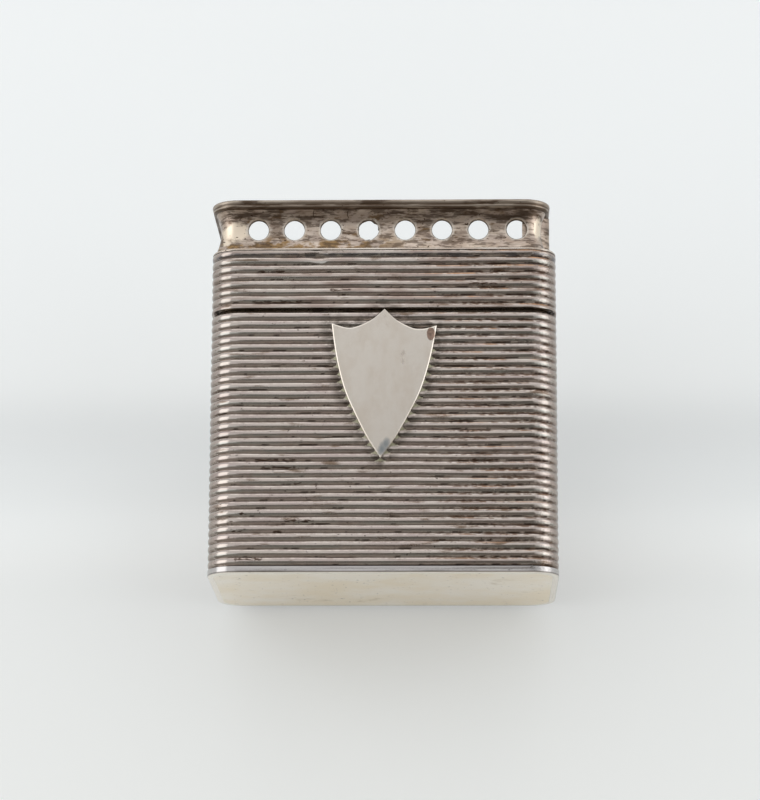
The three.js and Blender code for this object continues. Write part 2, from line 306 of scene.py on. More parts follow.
class Recipe(TreeBuilder):
    """A Geometry Nodes tree with named inputs."""

    KINDS = {
        "object": "NodeSocketObject",
        "size": "NodeSocketFloat",
        "count": "NodeSocketInt",
        "place": "NodeSocketVector",
        "material": "NodeSocketMaterial",
    }

    def __init__(self, name: str, inputs: dict[str, str]) -> None:
        """Starts a tree.

        Args:
            name: the tree's name.
            inputs: the kind of each named input.
        """
        tree = bpy.data.node_groups.new(name, "GeometryNodeTree")
        super().__init__(tree)
        geometry = "NodeSocketGeometry"
        tree.interface.new_socket("Geometry", in_out="OUTPUT", socket_type=geometry)
        tree.interface.new_socket("Geometry", in_out="INPUT", socket_type=geometry)
        self.identifiers: dict[str, str] = {}
        for label, kind in {**inputs, "Material": "material"}.items():
            socket = tree.interface.new_socket(
                label, in_out="INPUT", socket_type=self.KINDS[kind]
            )
            self.identifiers[label] = socket.identifier
        self.start = self.add("NodeGroupInput")
        self.position = self.wire("GeometryNodeInputPosition", 0)

    def given(self, name: str) -> Wire:
        """Gives the tree's own input of that name."""
        return Wire(self, self.start.outputs[name])

    def shape_of(self, name: str) -> Wire:
        """Gives the geometry of the object given under that name."""
        return self.wire("GeometryNodeObjectInfo", "Geometry", {"Object": self.given(name)})

    def away(self, name: str) -> Wire:
        """Gives the distance from the place given under that name."""
        return self.length(self.vector("SUBTRACT", self.position, self.given(name)))

    def nearest(self, name: str, element: str) -> Wire:
        """Gives the distance from the object given under that name, measured to one kind of element."""
        inputs = {"Geometry": self.shape_of(name), "Sample Position": self.position}
        return self.wire("GeometryNodeProximity", "Distance", inputs, target_element=element)

    def moved(self, geometry: Any, offset: Any) -> bpy.types.Node:
        """Moves each point of a geometry by its own offset."""
        return self.add("GeometryNodeSetPosition", {"Geometry": geometry, "Offset": offset})

    def repeat(self, shape: str, **more: Any) -> bpy.types.Node:
        """Puts the shape given under that name on each of the given Marks."""
        inputs = {"Points": self.shape_of("Marks"), "Instance": self.shape_of(shape), **more}
        return self.add("GeometryNodeInstanceOnPoints", inputs)

    def cut(self, cutter: Any) -> bpy.types.Node:
        """Takes a solid out of the tree's own geometry."""
        inputs = {"Mesh 1": self.given("Geometry"), "Mesh 2": cutter}
        return self.add("GeometryNodeMeshBoolean", inputs, operation="DIFFERENCE", solver="EXACT")

    def store(self, geometry: Any, name: str, value: Any, kind: str = "FLOAT") -> bpy.types.Node:
        """Keeps a value of the given data type on each point under a name."""
        inputs = {"Geometry": geometry, "Name": name, "Value": value}
        return self.add("GeometryNodeStoreNamedAttribute", inputs, data_type=kind)

    def stored(self, name: str, kind: str = "FLOAT") -> Wire:
        """Reads back a value that is kept under a name."""
        return self.wire("GeometryNodeInputNamedAttribute", 0, {"Name": name}, data_type=kind)

    def close(self, geometry: Any) -> None:
        """Ends the tree in Realize Instances and Set Material.

        Args:
            geometry: what the tree has made.
        """
        real = self.add("GeometryNodeRealizeInstances", {"Geometry": geometry})
        dressed = {"Geometry": real, "Material": self.given("Material")}
        self.add("NodeGroupOutput", {0: self.add("GeometryNodeSetMaterial", dressed)})

    def put_on(self, piece: Piece, values: dict[str, Any]) -> None:
        """Gives a piece a modifier that runs this tree.

        Args:
            piece: the object.
            values: a value for each named input, with lengths in metres.
        """
        modifier = piece.modifiers.new(self.tree.name, "NODES")
        modifier.node_group = self.tree
        for name, value in values.items():
            modifier[self.identifiers[name]] = value


class Workshop:
    """The Geometry Nodes trees that the pieces share."""

    SOLDER_FADE = 0.7 * MM
    SOLDER_EDGE = 0.03 * MM
    HOLLOW_DEPTH = 0.05 * MM
    END_REACH = 1.2 * MM
    RAGGED_REACH = (1.6 * MM, 2.2 * MM)

    def __init__(self) -> None:
        """Builds every tree once."""
        self.sweep = self._sweep()
        self.reeds = self._reeds()
        self.notch = self._notch()
        self.pierce = self._pierce()
        self.tubes = self._tubes()

    @staticmethod
    def _sweep() -> Recipe:
        """Runs a section along a plan and keeps each point's way out and depth in the wall.

        Returns:
            The tree.
        """
        tree = Recipe("run_section_along_plan", {"Plan": "object", "Section": "object"})
        tangent = tree.add("GeometryNodeInputTangent")
        outward = tree.vector("CROSS_PRODUCT", tangent, (0.0, 0.0, 1.0))
        plan = {"Curve": tree.shape_of("Plan")}
        plan = tree.add("GeometryNodeSetCurveNormal", plan, mode="Z_UP")
        plan = tree.store(plan, "outward", outward, "FLOAT_VECTOR")
        depth = tree.axis("X", tree.position) * -1.0
        section = tree.store(tree.shape_of("Section"), "wall_depth", depth)
        inputs = {"Curve": plan, "Profile Curve": section, "Fill Caps": True}
        swept = tree.add("GeometryNodeCurveToMesh", inputs)
        outside = tree.add("GeometryNodeFlipFaces", {"Mesh": swept})
        tree.close(tree.add("GeometryNodeSetShadeSmooth", {"Geometry": outside}))
        return tree

    @staticmethod
    def _reeds() -> Recipe:
        """Presses the reeds into a swept wall, runs solder into them and dents the sheet.

        Returns:
            The tree.
        """
        sizes = ("Reed Start", "Reed Pitch", "Reed Depth", "Reed Radius", "Reeded From", "Reeded To")
        sizes += ("Waviness", "Solder Reach", "Solder Top", "Dent Radius", "Dent Depth")
        objects = {"Shield": "object", "Streaks": "object"}
        inputs = {**dict.fromkeys(sizes, "size"), **objects, "Dent Place": "place"}
        tree = Recipe("press_reeds", inputs)
        height = tree.axis("Z", tree.position)
        depth = tree.given("Reed Depth")
        pitch = tree.given("Reed Pitch")
        radius = tree.given("Reed Radius")
        level = (height - tree.given("Reed Start")) / pitch
        across = abs(tree.math("FRACT", level) - 0.5) * pitch
        relief = radius - tree.math("SQRT", radius**2.0 - across**2.0)
        low = height - tree.given("Reeded From")
        high = tree.given("Reeded To") - height
        from_end = tree.math("MINIMUM", low, high)
        outer = tree.math("LESS_THAN", tree.stored("wall_depth"), HAIR)
        active = tree.math("GREATER_THAN", from_end, -HAIR) * outer
        uneven = tree.cells(tree.position, (0.2, 0.2, 0.6), 2.0, 5.2)
        relief = relief * (uneven * 0.5 + 0.72)

        near = tree.nearest("Shield", "FACES")
        jag = tree.cells(tree.position, (0.15, 0.15, 1.4), 1.0, 7.7)
        reach = tree.given("Solder Reach") * (jag * 2.4 + -0.3)
        run_in = near / tree.math("MAXIMUM", reach, 2 * HAIR)
        solder_top = tree.given("Solder Top")
        above = tree.smooth(height, solder_top - Workshop.SOLDER_FADE, solder_top)
        limit = (run_in + above * 4.0) * depth
        filled = tree.smooth(relief - limit, 0.0, Workshop.SOLDER_EDGE)
        relief = tree.math("MINIMUM", relief, limit) * active

        dent = tree.fade(tree.away("Dent Place"), 0.0, tree.given("Dent Radius"))
        swell = tree.cells(tree.position, (0.12, 0.12, 0.12), 1.0, 11.9)
        hollow = swell * outer * Workshop.HOLLOW_DEPTH
        inward = relief + dent * tree.given("Dent Depth") + hollow
        pressed = tree.vector("SCALE", tree.stored("outward", "FLOAT_VECTOR"), inward * -1.0)
        sway = tree.cells(tree.position, (0.07, 0.07, 0.25), 2.0, 3.1) - 0.5
        settled = tree.smooth(from_end, 0.0, Workshop.END_REACH)
        rise = sway * tree.given("Waviness") * settled
        lifted = tree.add("ShaderNodeCombineXYZ", {2: rise * active})
        kept = tree.given("Geometry")
        for name, value in (
            ("reed_level", level),
            ("solder", filled),
            ("shield_gap", near),
            ("streak_gap", tree.nearest("Streaks", "EDGES")),
            ("outside", active),
        ):
            kept = tree.store(kept, name, value)
        tree.close(tree.moved(kept, tree.vector("ADD", pressed, lifted)))
        return tree

    @staticmethod
    def _notch() -> Recipe:
        """Cuts a box out of a wall, for the hinge to lie in.

        Returns:
            The tree.
        """
        tree = Recipe("cut_notch", {"Cut Place": "place", "Cut Size": "place"})
        block = tree.add("GeometryNodeMeshCube", {"Size": tree.given("Cut Size")})
        placed = {"Geometry": block, "Translation": tree.given("Cut Place")}
        tree.close(tree.cut(tree.add("GeometryNodeTransform", placed)))
        return tree

    @staticmethod
    def _pierce() -> Recipe:
        """Punches a hole at each marked point, along the way that the point faces.

        Returns:
            The tree.
        """
        inputs = {"Marks": "object", "Punch": "object", "Uneven Share": "size"}
        inputs |= {"Ragged Place": "place", "Ragged Depth": "size", "Seed": "count"}
        tree = Recipe("pierce_holes", inputs)
        facing = {"Vector": tree.stored("facing", "FLOAT_VECTOR")}
        turn = tree.add("FunctionNodeAlignRotationToVector", facing, axis="Z")
        spread = tree.given("Uneven Share")
        ends = {"Min": 1.0 - spread, "Max": 1.0 + spread, "Seed": tree.given("Seed")}
        size = tree.add("FunctionNodeRandomValue", ends, data_type="FLOAT")
        punches = tree.repeat("Punch", Rotation=turn, Scale=size)
        solid = tree.add("GeometryNodeRealizeInstances", {"Geometry": punches})
        rough = tree.cells(tree.position, (1.6, 0.4, 1.6), 2.0, 5.3) - 0.5
        close_by = tree.fade(tree.away("Ragged Place"), *Workshop.RAGGED_REACH)
        bite = rough * tree.given("Ragged Depth") * close_by
        ragged = tree.moved(solid, tree.add("ShaderNodeCombineXYZ", {0: bite, 2: bite}))
        tree.close(tree.store(tree.cut(ragged), "hole_gap", tree.nearest("Marks", "POINTS")))
        return tree

    @staticmethod
    def _tubes() -> Recipe:
        """Repeats a tube along X, once at each marked point.

        Returns:
            The tree.
        """
        tree = Recipe("repeat_tube", {"Marks": "object", "Tube": "object"})
        tree.close(tree.repeat("Tube"))
        return tree


class Bench:
    """Makes objects and turns what the trees give into plain meshes."""

    def __init__(self) -> None:
        """Builds the trees and starts with no helper objects."""
        self.helpers: list[Piece] = []
        self.shop = Workshop()

    def link(self, name: str, data: Any, helper: bool = False) -> Piece:
        """Puts a mesh or curve in the scene.

        Args:
            name: the object's name.
            data: its mesh or curve.
            helper: whether it goes again once the pieces are made.

        Returns:
            The new object.
        """
        piece = linked(name, data)
        if helper:
            self.helpers.append(piece)
        return piece

    def curve(self, name: str, points: Sequence[Point2], closed: bool) -> Piece:
        """Makes a flat helper curve of straight steps.

        Args:
            name: the object's name.
            points: its points in millimetres.
            closed: whether the last point joins the first.

        Returns:
            The helper object.
        """
        data = bpy.data.curves.new(name, "CURVE")
        data.dimensions = "3D"
        spline = data.splines.new("POLY")
        spline.points.add(len(points) - 1)
        for knot, point in zip(spline.points, points):
            knot.co = (*metres(point), 0.0, 1.0)
        spline.use_cyclic_u = closed
        return self.link(name, data, helper=True)

    def mesh(
        self,
        name: str,
        points: Sequence[Point3],
        faces: Sequence[Sequence[int]] = (),
        helper: bool = False,
        edges: Sequence[Sequence[int]] = (),
    ) -> Piece:
        """Makes a mesh object.

        Args:
            name: the object's name.
            points: its corners in millimetres.
            faces: its faces.
            helper: whether it goes again once the pieces are made.
            edges: its edges, where it has no faces.

        Returns:
            The new object.
        """
        data = bpy.data.meshes.new(name)
        data.from_pydata([metres(point) for point in points], edges, faces)
        return self.link(name, data, helper)

    def lathe(self, name: str, profile: Sequence[Point2], sides: int) -> Piece:
        """Turns a profile round Z into a helper: a closed ring or solid.

        Args:
            name: the object's name.
            profile: points of radius and height; two of radius 0 close the ends.
            sides: how many steps the turn has.

        Returns:
            The new object.
        """
        solid = profile[0][0] == 0
        points: list[Point3] = []
        for radius, height in profile:
            for i in range(sides):
                angle = math.tau * i / sides
                points.append((radius * math.cos(angle), radius * math.sin(angle), height))
        rows = len(profile) - 1 if solid else len(profile)
        faces = []
        for row in range(rows):
            faces += ring_faces(row * sides, (row + 1) % len(profile) * sides, sides)
        piece = self.mesh(name, points, faces, helper=True)
        self.clean(piece)
        return piece

    @staticmethod
    def clean(piece: Piece) -> None:
        """Merges doubles and turns all faces outwards.

        Args:
            piece: the mesh object that is cleaned.
        """
        work = bmesh.new()
        work.from_mesh(piece.data)
        bmesh.ops.remove_doubles(work, verts=work.verts, dist=DOUBLE)
        bmesh.ops.dissolve_degenerate(work, edges=work.edges, dist=DOUBLE)
        bmesh.ops.recalc_face_normals(work, faces=work.faces)
        work.to_mesh(piece.data)
        work.free()

    def solid(
        self, name: str, points: Sequence[Point3], faces: Sequence[Sequence[int]], material: Material
    ) -> Piece:
        """Makes a closed mesh with a finish.

        Args:
            name: the piece's name.
            points: its corners in millimetres.
            faces: its faces, whichever way they turn.
            material: its finish.

        Returns:
            The piece.
        """
        piece = self.mesh(name, points, faces)
        self.clean(piece)
        piece.data.materials.append(material)
        return piece

    def swept(
        self,
        name: str,
        path: Sequence[Point2],
        section: Sequence[Point2],
        material: Material,
        closed: bool = True,
    ) -> Piece:
        """Runs a section along a plan.

        Args:
            name: the piece's name.
            path: the plan that it follows.
            section: points of inset and height.
            material: the piece's finish.
            closed: whether it goes all the way round.

        Returns:
            The piece, with the tree still on it.
        """
        plan = self.curve(f"{name}_plan", path, closed)
        flat = [(-inset, -z) for inset, z in section]
        profile = self.curve(f"{name}_section", flat, closed=True)
        piece = self.mesh(name, [])
        self.shop.sweep.put_on(piece, {"Plan": plan, "Section": profile, "Material": material})
        return piece

    def settle(
        self, piece: Piece, body: Body, nodes: Sequence[str], sharp: float = 34.0
    ) -> None:
        """Makes a piece a plain mesh, rides it on its body and hides the CAD nodes that it stands for.

        Args:
            piece: the piece, with the trees that shape it.
            body: the body that it moves with.
            nodes: the CAD nodes that it stands for.
            sharp: edges that turn more than this, in degrees, stay crisp.
        """
        graph = bpy.context.evaluated_depsgraph_get()
        made = bpy.data.meshes.new_from_object(piece.evaluated_get(graph), depsgraph=graph)
        piece.modifiers.clear()
        piece.data = made
        made.shade_smooth()
        made.set_sharp_from_angle(angle=math.radians(sharp))
        if nodes:
            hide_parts(*nodes)
        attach(piece, body.value)
        log.info("%s: %d faces, rides on %s", piece.name, len(made.polygons), body.value)

    def clear(self) -> None:
        """Removes the helper objects."""
        for piece in self.helpers:
            bpy.data.objects.remove(piece)
        self.helpers.clear()


@dataclass(frozen=True)
class BoxPlan:
    """The rounded rectangle that every ring of the box follows."""

    width: float = 32.2
    depth: float = 18.0
    radius: float = 2.7
    corner_steps: int = 12
    step: float = 0.6
    fine_reach: float = 5.7
    fine_step: float = 0.11

    def front_stations(self, fine: bool) -> list[float]:
        """Lists the stations of the straight front.

        Args:
            fine: whether the middle, behind the shield, has small steps.

        Returns:
            Values of X from left to right.
        """
        end = self.width / 2 - self.radius
        if not fine:
            return stations(-end, end, self.step)
        left = stations(-end, -self.fine_reach, self.step)[:-1]
        middle = stations(-self.fine_reach, self.fine_reach, self.fine_step)
        return left + middle + [-x for x in reversed(left)]

    def arc(self, centre: Point2, radius: float, start: float) -> list[Point2]:
        """Lists the inner points of a quarter turn.

        Args:
            centre: the corner's centre.
            radius: its radius.
            start: the angle where it starts, in degrees.

        Returns:
            The points between the two ends of the quarter turn.
        """
        x, y = centre
        turns = [start + 90 * i / self.corner_steps for i in range(1, self.corner_steps)]
        angles = [math.radians(turn) for turn in turns]
        return [(x + radius * math.cos(a), y + radius * math.sin(a)) for a in angles]

    def outline(self, inset: float = 0.0, shift_x: float = 0.0, fine: bool = False) -> list[Point2]:
        """Lists the outline anticlockwise seen from above, from the front left.

        Args:
            inset: how far it stands in from the plan.
            shift_x: how far it is moved to the right.
            fine: whether the front has small steps behind the shield.

        Returns:
            The outline's points.
        """
        cx = self.width / 2 - self.radius
        cy = self.depth / 2 - self.radius
        edge_x = self.width / 2 - inset
        edge_y = self.depth / 2 - inset
        radius = self.radius - inset
        across = stations(cx, -cx, self.step)
        along = stations(-cy, cy, self.step)
        points: list[Point2] = []
        for side, corner, turn in (
            ([(x, -edge_y) for x in self.front_stations(fine)], (cx, -cy), -90),
            ([(edge_x, y) for y in along], (cx, cy), 0),
            ([(x, edge_y) for x in across], (-cx, cy), 90),
            ([(-edge_x, y) for y in stations(cy, -cy, self.step)], (-cx, -cy), 180),
        ):
            points += [*side, *self.arc(corner, radius, turn)]
        return [(x + shift_x, y) for x, y in points]


PLAN = BoxPlan()


@dataclass(frozen=True)
class Patches:
    """Patches where a noise is high: its cells per millimetre, its shift and its rise to full."""

    per_mm: Point3
    detail: float
    shift: float
    rise: Point2


@dataclass(frozen=True)
class Runs:
    """Runs along the reeds where a noise is high, which differ from reed to reed."""

    per_mm: float
    shift: float
    rise: Point2


@dataclass(frozen=True)
class Stripe:
    """A stripe along every reed, in reeds up from the groove: full to core, gone at edge."""

    centre: float
    core: float
    edge: float


class Sheet(TreeBuilder):
    """A silver surface that is built up in layers in one shader tree."""

    def __init__(self, name: str, seed: float) -> None:
        """Starts a material with Object coordinates and noises of its own.

        Args:
            name: the material's name.
            seed: moves its noises, so that no two materials are alike.
        """
        self.seed = seed
        self.material = bpy.data.materials.new(name)
        super().__init__(empty_tree(self.material).tree)
        self.place = self.wire("ShaderNodeTexCoord", "Object")
        in_mm = self.vector("SCALE", self.place, PER_MM)
        self.x, self.y, self.z = (self.axis(name, in_mm) for name in "XYZ")
        self.colour: Any = None

    def grain(self, per_mm: Point3, detail: float, shift: float) -> Wire:
        """Adds a noise with its cells counted per millimetre, moved by the sheet's seed as well."""
        return self.cells(self.place, per_mm, detail, self.seed + shift)

    def marked(self, patches: Patches) -> Wire:
        """Marks patches: 1 inside, 0 outside."""
        return self.smooth(self.grain(patches.per_mm, patches.detail, patches.shift), *patches.rise)

    def stripe(self, above: Any, stripe: Stripe) -> Wire:
        """Marks a stripe, given how far each point is above its groove, in reeds."""
        return self.band(above, stripe.centre, stripe.core, stripe.edge)

    def coat(self, share: Any, colour: Any) -> None:
        """Lays a share of a further colour over the surface."""
        self.colour = self.mix(share, self.colour, colour)

    def kept(self, name: str) -> Wire:
        """Reads a value that the making of the piece kept on its mesh."""
        return self.wire("ShaderNodeAttribute", "Fac", attribute_name=name)

    def band(self, value: Any, centre: Any, core: Any, edge: Any) -> Wire:
        """Marks where a value is close to a centre.

        Args:
            value: the value that is read.
            centre: the value in the middle of the band.
            core: how far from the centre the band is full.
            edge: how far from the centre it ends.

        Returns:
            1 in the band, 0 outside.
        """
        return self.fade(abs(value - centre), core, edge)

    def spot(self, place: Point3, radii: Point3, ragged: float = 0.3, soft: float = 0.2) -> Wire:
        """Marks a patch with an uneven edge.

        Args:
            place: its centre in millimetres.
            radii: its radius in millimetres along X, Y and Z.
            ragged: how far its edge wanders, as a share of the radius.
            soft: how wide its edge is, as a share of the radius.

        Returns:
            1 inside the patch, 0 outside.
        """
        gap = self.vector("SUBTRACT", self.place, metres(place))
        gap = self.vector("MULTIPLY", gap, tuple(PER_MM / radius for radius in radii))
        wander = self.cells(self.place, (1.3, 1.3, 1.3), 4.0, place[0]) - 0.5
        edge = wander * (4.0 * ragged) + self.length(gap)
        return self.fade(edge, 1.0 - soft, 1.0 + soft)

    def finish(self, roughness: Any, height: Any, depth: float) -> Material:
        """Wires the shader.

        Args:
            roughness: the roughness, from 0 to 1.
            height: the relief from 0 to 1.
            depth: what a relief of 1 stands for, in millimetres.

        Returns:
            The finished material.
        """
        bump = {"Strength": 1.0, "Distance": depth * MM, "Height": height}
        normal = self.wire("ShaderNodeBump", "Normal", bump)
        inputs = {"Base Color": self.colour, "Metallic": 1.0, "Roughness": roughness, "Normal": normal}
        shader = self.add("ShaderNodeBsdfPrincipled", inputs)
        self.add("ShaderNodeOutputMaterial", {"Surface": shader})
        return self.material


@dataclass(frozen=True)
class SilverFinish:
    """Old silver: bright metal, a warm bloom, tarnish in patches, specks and fine scratches."""

    name: str
    bright: Colour = (208, 198, 189)
    bloom: Colour = (198, 182, 173)
    tarnish: Colour = (122, 106, 92)
    speck: Colour = (70, 54, 42)
    bloom_rise: Point2 = (0.36, 0.66)
    tarnish_from: float = 0.56
    tarnish_rise: float = 0.14
    tarnish_fineness: float = 1.7
    tarnish_dulling: float = 0.12
    speck_from: float = 0.68
    speck_rise: float = 0.05
    speck_cells: Point3 = (2.6, 2.6, 4.2)
    scratch_cells: Point3 = (0.5, 0.5, 12.0)
    pit_cells: Point3 = (5.0, 5.0, 5.0)
    pit_dulling: float = 0.08
    streak: Point3 = (0.18, 0.18, 0.9)
    roughness: float = 0.22
    relief: float = 0.005
    seed: float = 0.0

    def accents(self, sheet: Sheet) -> None:
        """Adds what only this finish has; a plain one adds nothing."""

    def pitting(self, sheet: Sheet) -> Any:
        """Gives how strongly the surface is pitted from place to place."""
        return 1.0

    def dulling(self, sheet: Sheet) -> Any:
        """Gives how much duller than bare metal the surface is from place to place."""
        return 0.0

    def build(self) -> Material:
        """Builds the material.

        Returns:
            The finished material.
        """
        sheet = Sheet(self.name, self.seed)
        bloom = sheet.marked(Patches(self.streak, 4.0, 1.3, self.bloom_rise))
        sheet.colour = sheet.mix(bloom, self.bright, self.bloom)
        finer = tuple(self.tarnish_fineness * cells for cells in self.streak)
        rise = (self.tarnish_from, self.tarnish_from + self.tarnish_rise)
        tarnish = sheet.marked(Patches(finer, 6.0, 9.1, rise))
        sheet.coat(tarnish, self.tarnish)
        self.accents(sheet)
        rise = (self.speck_from, self.speck_from + self.speck_rise)
        sheet.coat(sheet.marked(Patches(self.speck_cells, 3.0, 4.4, rise)), self.speck)
        scratch = sheet.grain(self.scratch_cells, 2.0, 6.2)
        pit = sheet.grain(self.pit_cells, 3.0, 8.8)
        height = (pit * 0.7 + scratch * 0.3) * self.pitting(sheet)
        worn = tarnish * self.tarnish_dulling + self.roughness
        roughness = pit * self.pit_dulling + worn + self.dulling(sheet)
        return sheet.finish(roughness, height, self.relief)


@dataclass(frozen=True)
class ReededFinish(SilverFinish):
    """Reeded silver: grey grooves with brown dashes, pale solder and sparkling right corners, with
    painted shade in the grooves, on the side faces and next to the shield.

    Each pair named after an axis says between which two places on it a change takes place, and
    mottled_at gives the height of the mottled band and its reach to each side.
    """

    bright: Colour = (193, 184, 176)
    bloom: Colour = (181, 169, 163)
    roughness: float = 0.13
    groove: Colour = (92, 84, 76)
    dash: Colour = (52, 39, 29)
    crack: Colour = (72, 52, 36)
    rust: Colour = (104, 82, 66)
    cool: Colour = (176, 176, 170)
    # painted shade: the colour that darkens the side faces
    side_shade: Colour = (144, 127, 116)
    orange: Colour = (172, 136, 108)
    solder: Colour = (172, 170, 146)
    plain: Colour = (232, 225, 213)
    steel: Colour = (190, 190, 190)
    mottle: Colour = (108, 106, 108)
    right_x: Point2 = (1.0, 9.0)
    corner_x: Point2 = (13.2, 14.6)
    side_x: Point2 = (14.8, 15.8)
    sparkle_x: Point2 = (13.0, 14.4)
    front_y: Point2 = (-8.6, -7.6)
    upper_z: Point2 = (19.5, 22.0)
    cool_runs: Runs = Runs(0.12, 2.0, (0.4, 0.6))
    cool_stripe: Stripe = Stripe(0.28, 0.12, 0.26)
    rust_patches: Patches = Patches((1.6, 1.6, 6.0), 6.0, 50.0, (0.44, 0.53))
    rust_runs: Runs = Runs(0.2, 41.0, (0.36, 0.52))
    rust_stripe: Stripe = Stripe(-0.06, 0.12, 0.32)
    orange_runs: Runs = Runs(0.16, 31.0, (0.5, 0.62))
    orange_stripe: Stripe = Stripe(-0.2, 0.04, 0.14)
    dash_stripe: Stripe = Stripe(0.1, 0.03, 0.1)
    nick_runs: Runs = Runs(1.5, 3.0, (0.64, 0.7))
    nick_stripe: Stripe = Stripe(-0.26, 0.03, 0.1)
    crack_fade: Point2 = (0.04 * MM, 0.12 * MM)
    # painted shadow: how far from the shield's edge the wall is darkened
    shield_shadow_fade: Point2 = (0.2 * MM, 1.6 * MM)
    soot_patches: Patches = Patches((0.8, 0.8, 1.6), 4.0, 21.0, (0.35, 0.6))
    mottle_patches: Patches = Patches((0.9, 0.9, 2.2), 6.0, 33.0, (0.4, 0.55))
    foot_top: float = 0.0
    mottled_at: Point2 = (-5.0, 0.1)

    def along(self, sheet: Sheet, reed: Any, per_mm: float, shift: float) -> Wire:
        """Adds a noise that runs along the reeds and differs from reed to reed.

        Args:
            sheet: the surface.
            reed: the reed's number.
            per_mm: cells per millimetre along the reed.
            shift: moves the noise.

        Returns:
            The noise.
        """
        run = (sheet.y * 1.3 + sheet.x) * per_mm + shift
        place = sheet.add("ShaderNodeCombineXYZ", {0: run, 1: reed * 3.71, 2: self.seed})
        noise = {"Vector": place, "Scale": 1.0, "Detail": 4.0, "Roughness": 0.65}
        return sheet.wire("ShaderNodeTexNoise", 0, noise)

    def marked(self, sheet: Sheet, reed: Any, runs: Runs) -> Wire:
        """Marks runs along the reeds: 1 inside, 0 outside."""
        return sheet.smooth(self.along(sheet, reed, runs.per_mm, runs.shift), *runs.rise)

    def accents(self, sheet: Sheet) -> None:
        """Adds tarnish and painted shade in the grooves, dashes, warm and dark places, painted shade on
        the side faces, dirt and a painted shadow next to the shield, the solder and the foot band.

        Args:
            sheet: the surface.
        """
        level = sheet.kept("reed_level")
        on_reeds = sheet.kept("outside")
        groove_number = sheet.math("FLOOR", level + 0.5)
        above = level - groove_number
        right = sheet.smooth(sheet.x, *self.right_x)
        front = sheet.fade(sheet.y, *self.front_y)

        cool = self.marked(sheet, groove_number, self.cool_runs)
        sheet.coat(sheet.stripe(above, self.cool_stripe) * cool * on_reeds * 0.8, self.cool)

        # tarnish and painted shade: the grooves are darkened, more on the side faces and less at the
        # corners, where the lamps shine
        dirt = self.along(sheet, groove_number, 0.3, 9.0)
        side = sheet.smooth(abs(sheet.x), *self.side_x)
        reach = side * 0.16 + (dirt * 0.2 + (right * 0.07 + 0.02))
        centre = right * -0.1 + 0.04
        groove = sheet.band(above, centre, reach * 0.35, reach)
        corner = sheet.smooth(abs(sheet.x), *self.corner_x)
        share = side * 0.5 + (corner * -0.3 + 0.38)
        sheet.coat(groove * on_reeds * share, self.groove)

        rust = sheet.marked(self.rust_patches) * self.marked(sheet, groove_number, self.rust_runs)
        rust = rust * (right * 0.65 + 0.25) * on_reeds
        sheet.coat(rust * sheet.stripe(above, self.rust_stripe), self.rust)

        upper = sheet.smooth(sheet.z, *self.upper_z)
        warm = self.marked(sheet, groove_number, self.orange_runs)
        warm = warm * right * front * (upper * 0.6 + 0.4)
        sheet.coat(warm * sheet.stripe(above, self.orange_stripe) * on_reeds, self.orange)

        often = right * -0.05 + 0.56
        broken = self.along(sheet, groove_number, 0.55, 17.0)
        broken = sheet.smooth(broken, often, often + 0.05)
        thin = sheet.stripe(above, self.dash_stripe)
        sheet.coat(broken * thin * on_reeds * 0.9, self.dash)
        nick = self.marked(sheet, sheet.math("FLOOR", level), self.nick_runs)
        sheet.coat(nick * sheet.stripe(above, self.nick_stripe) * on_reeds * 0.7, self.dash)

        # painted shade: the side faces are darkened by half
        sheet.coat(side * 0.5, self.side_shade)

        rough = sheet.grain((2.2, 2.2, 8.0), 4.0, 40.0) - 0.5
        streak = rough * (0.9 * MM) + sheet.kept("streak_gap")
        streak = sheet.fade(streak, *self.crack_fade)
        sheet.coat(streak * on_reeds * 0.9, self.crack)

        # dirt in patches and a painted shadow along the shield's edge, strongest at the edge
        shadow_near_shield = sheet.fade(sheet.kept("shield_gap"), *self.shield_shadow_fade)
        sheet.coat(shadow_near_shield * sheet.marked(self.soot_patches) * on_reeds * 0.85, self.groove)
        sheet.coat(sheet.kept("solder") * on_reeds, self.solder)
        level, reach = self.mottled_at
        clouded = sheet.marked(self.mottle_patches)
        clouded = clouded * sheet.band(sheet.z, level, 0.4 * reach, reach)
        sheet.coat(clouded * on_reeds * 0.8, self.mottle)
        foot = sheet.fade(sheet.z, self.foot_top + 0.45, self.foot_top + 0.5)
        sheet.coat(foot * 0.7, self.steel)
        line = sheet.band(sheet.z, self.foot_top - 0.06, 0.02, 0.08) * 0.65
        sheet.coat(line, self.groove)
        below = sheet.fade(sheet.z, self.foot_top - 0.16, self.foot_top - 0.1)
        sheet.coat(below, self.plain)

    def dulling(self, sheet: Sheet) -> Wire:
        """Makes the solder dull."""
        return sheet.kept("solder") * 0.4

    def pitting(self, sheet: Sheet) -> Wire:
        """Gives the right corners their sparkle."""
        return sheet.smooth(sheet.x, *self.sparkle_x) * 9.0 + 1.0


@dataclass(frozen=True)
class ShieldFinish(SilverFinish):
    """Satin silver with a stain at the tip and a spot where the surface has come off."""

    stain: Colour = (108, 122, 130)
    bare: Colour = (156, 132, 118)
    # the place in X and Z and the radius of each spot
    stain_spots: tuple[Point3, ...] = (
        (0.4, 12.0, 0.28), (0.12, 11.6, 0.36), (-0.18, 11.2, 0.3),
    )
    bare_place: Point3 = (4.42, -9.32, 22.28)
    bare_radii: Point3 = (0.37, 0.5, 0.62)

    def accents(self, sheet: Sheet) -> None:
        """Adds the stain and the bare spot.

        Args:
            sheet: the surface.
        """
        for x, z, radius in self.stain_spots:
            patch = sheet.spot((x, self.bare_place[1], z), (radius, 1.0, 1.3 * radius), 0.25, 0.6)
            sheet.coat(patch * 0.6, self.stain)
        spot = sheet.spot(self.bare_place, self.bare_radii, 0.14, 0.12)
        mottled = sheet.cells(sheet.place, (3.0, 3.0, 3.0), 3.0, 5.0)
        mottled = sheet.smooth(mottled, 0.4, 0.6)
        bare = sheet.mix(mottled, self.bare, tuple(0.8 * value for value in self.bare))
        sheet.coat(spot, bare)


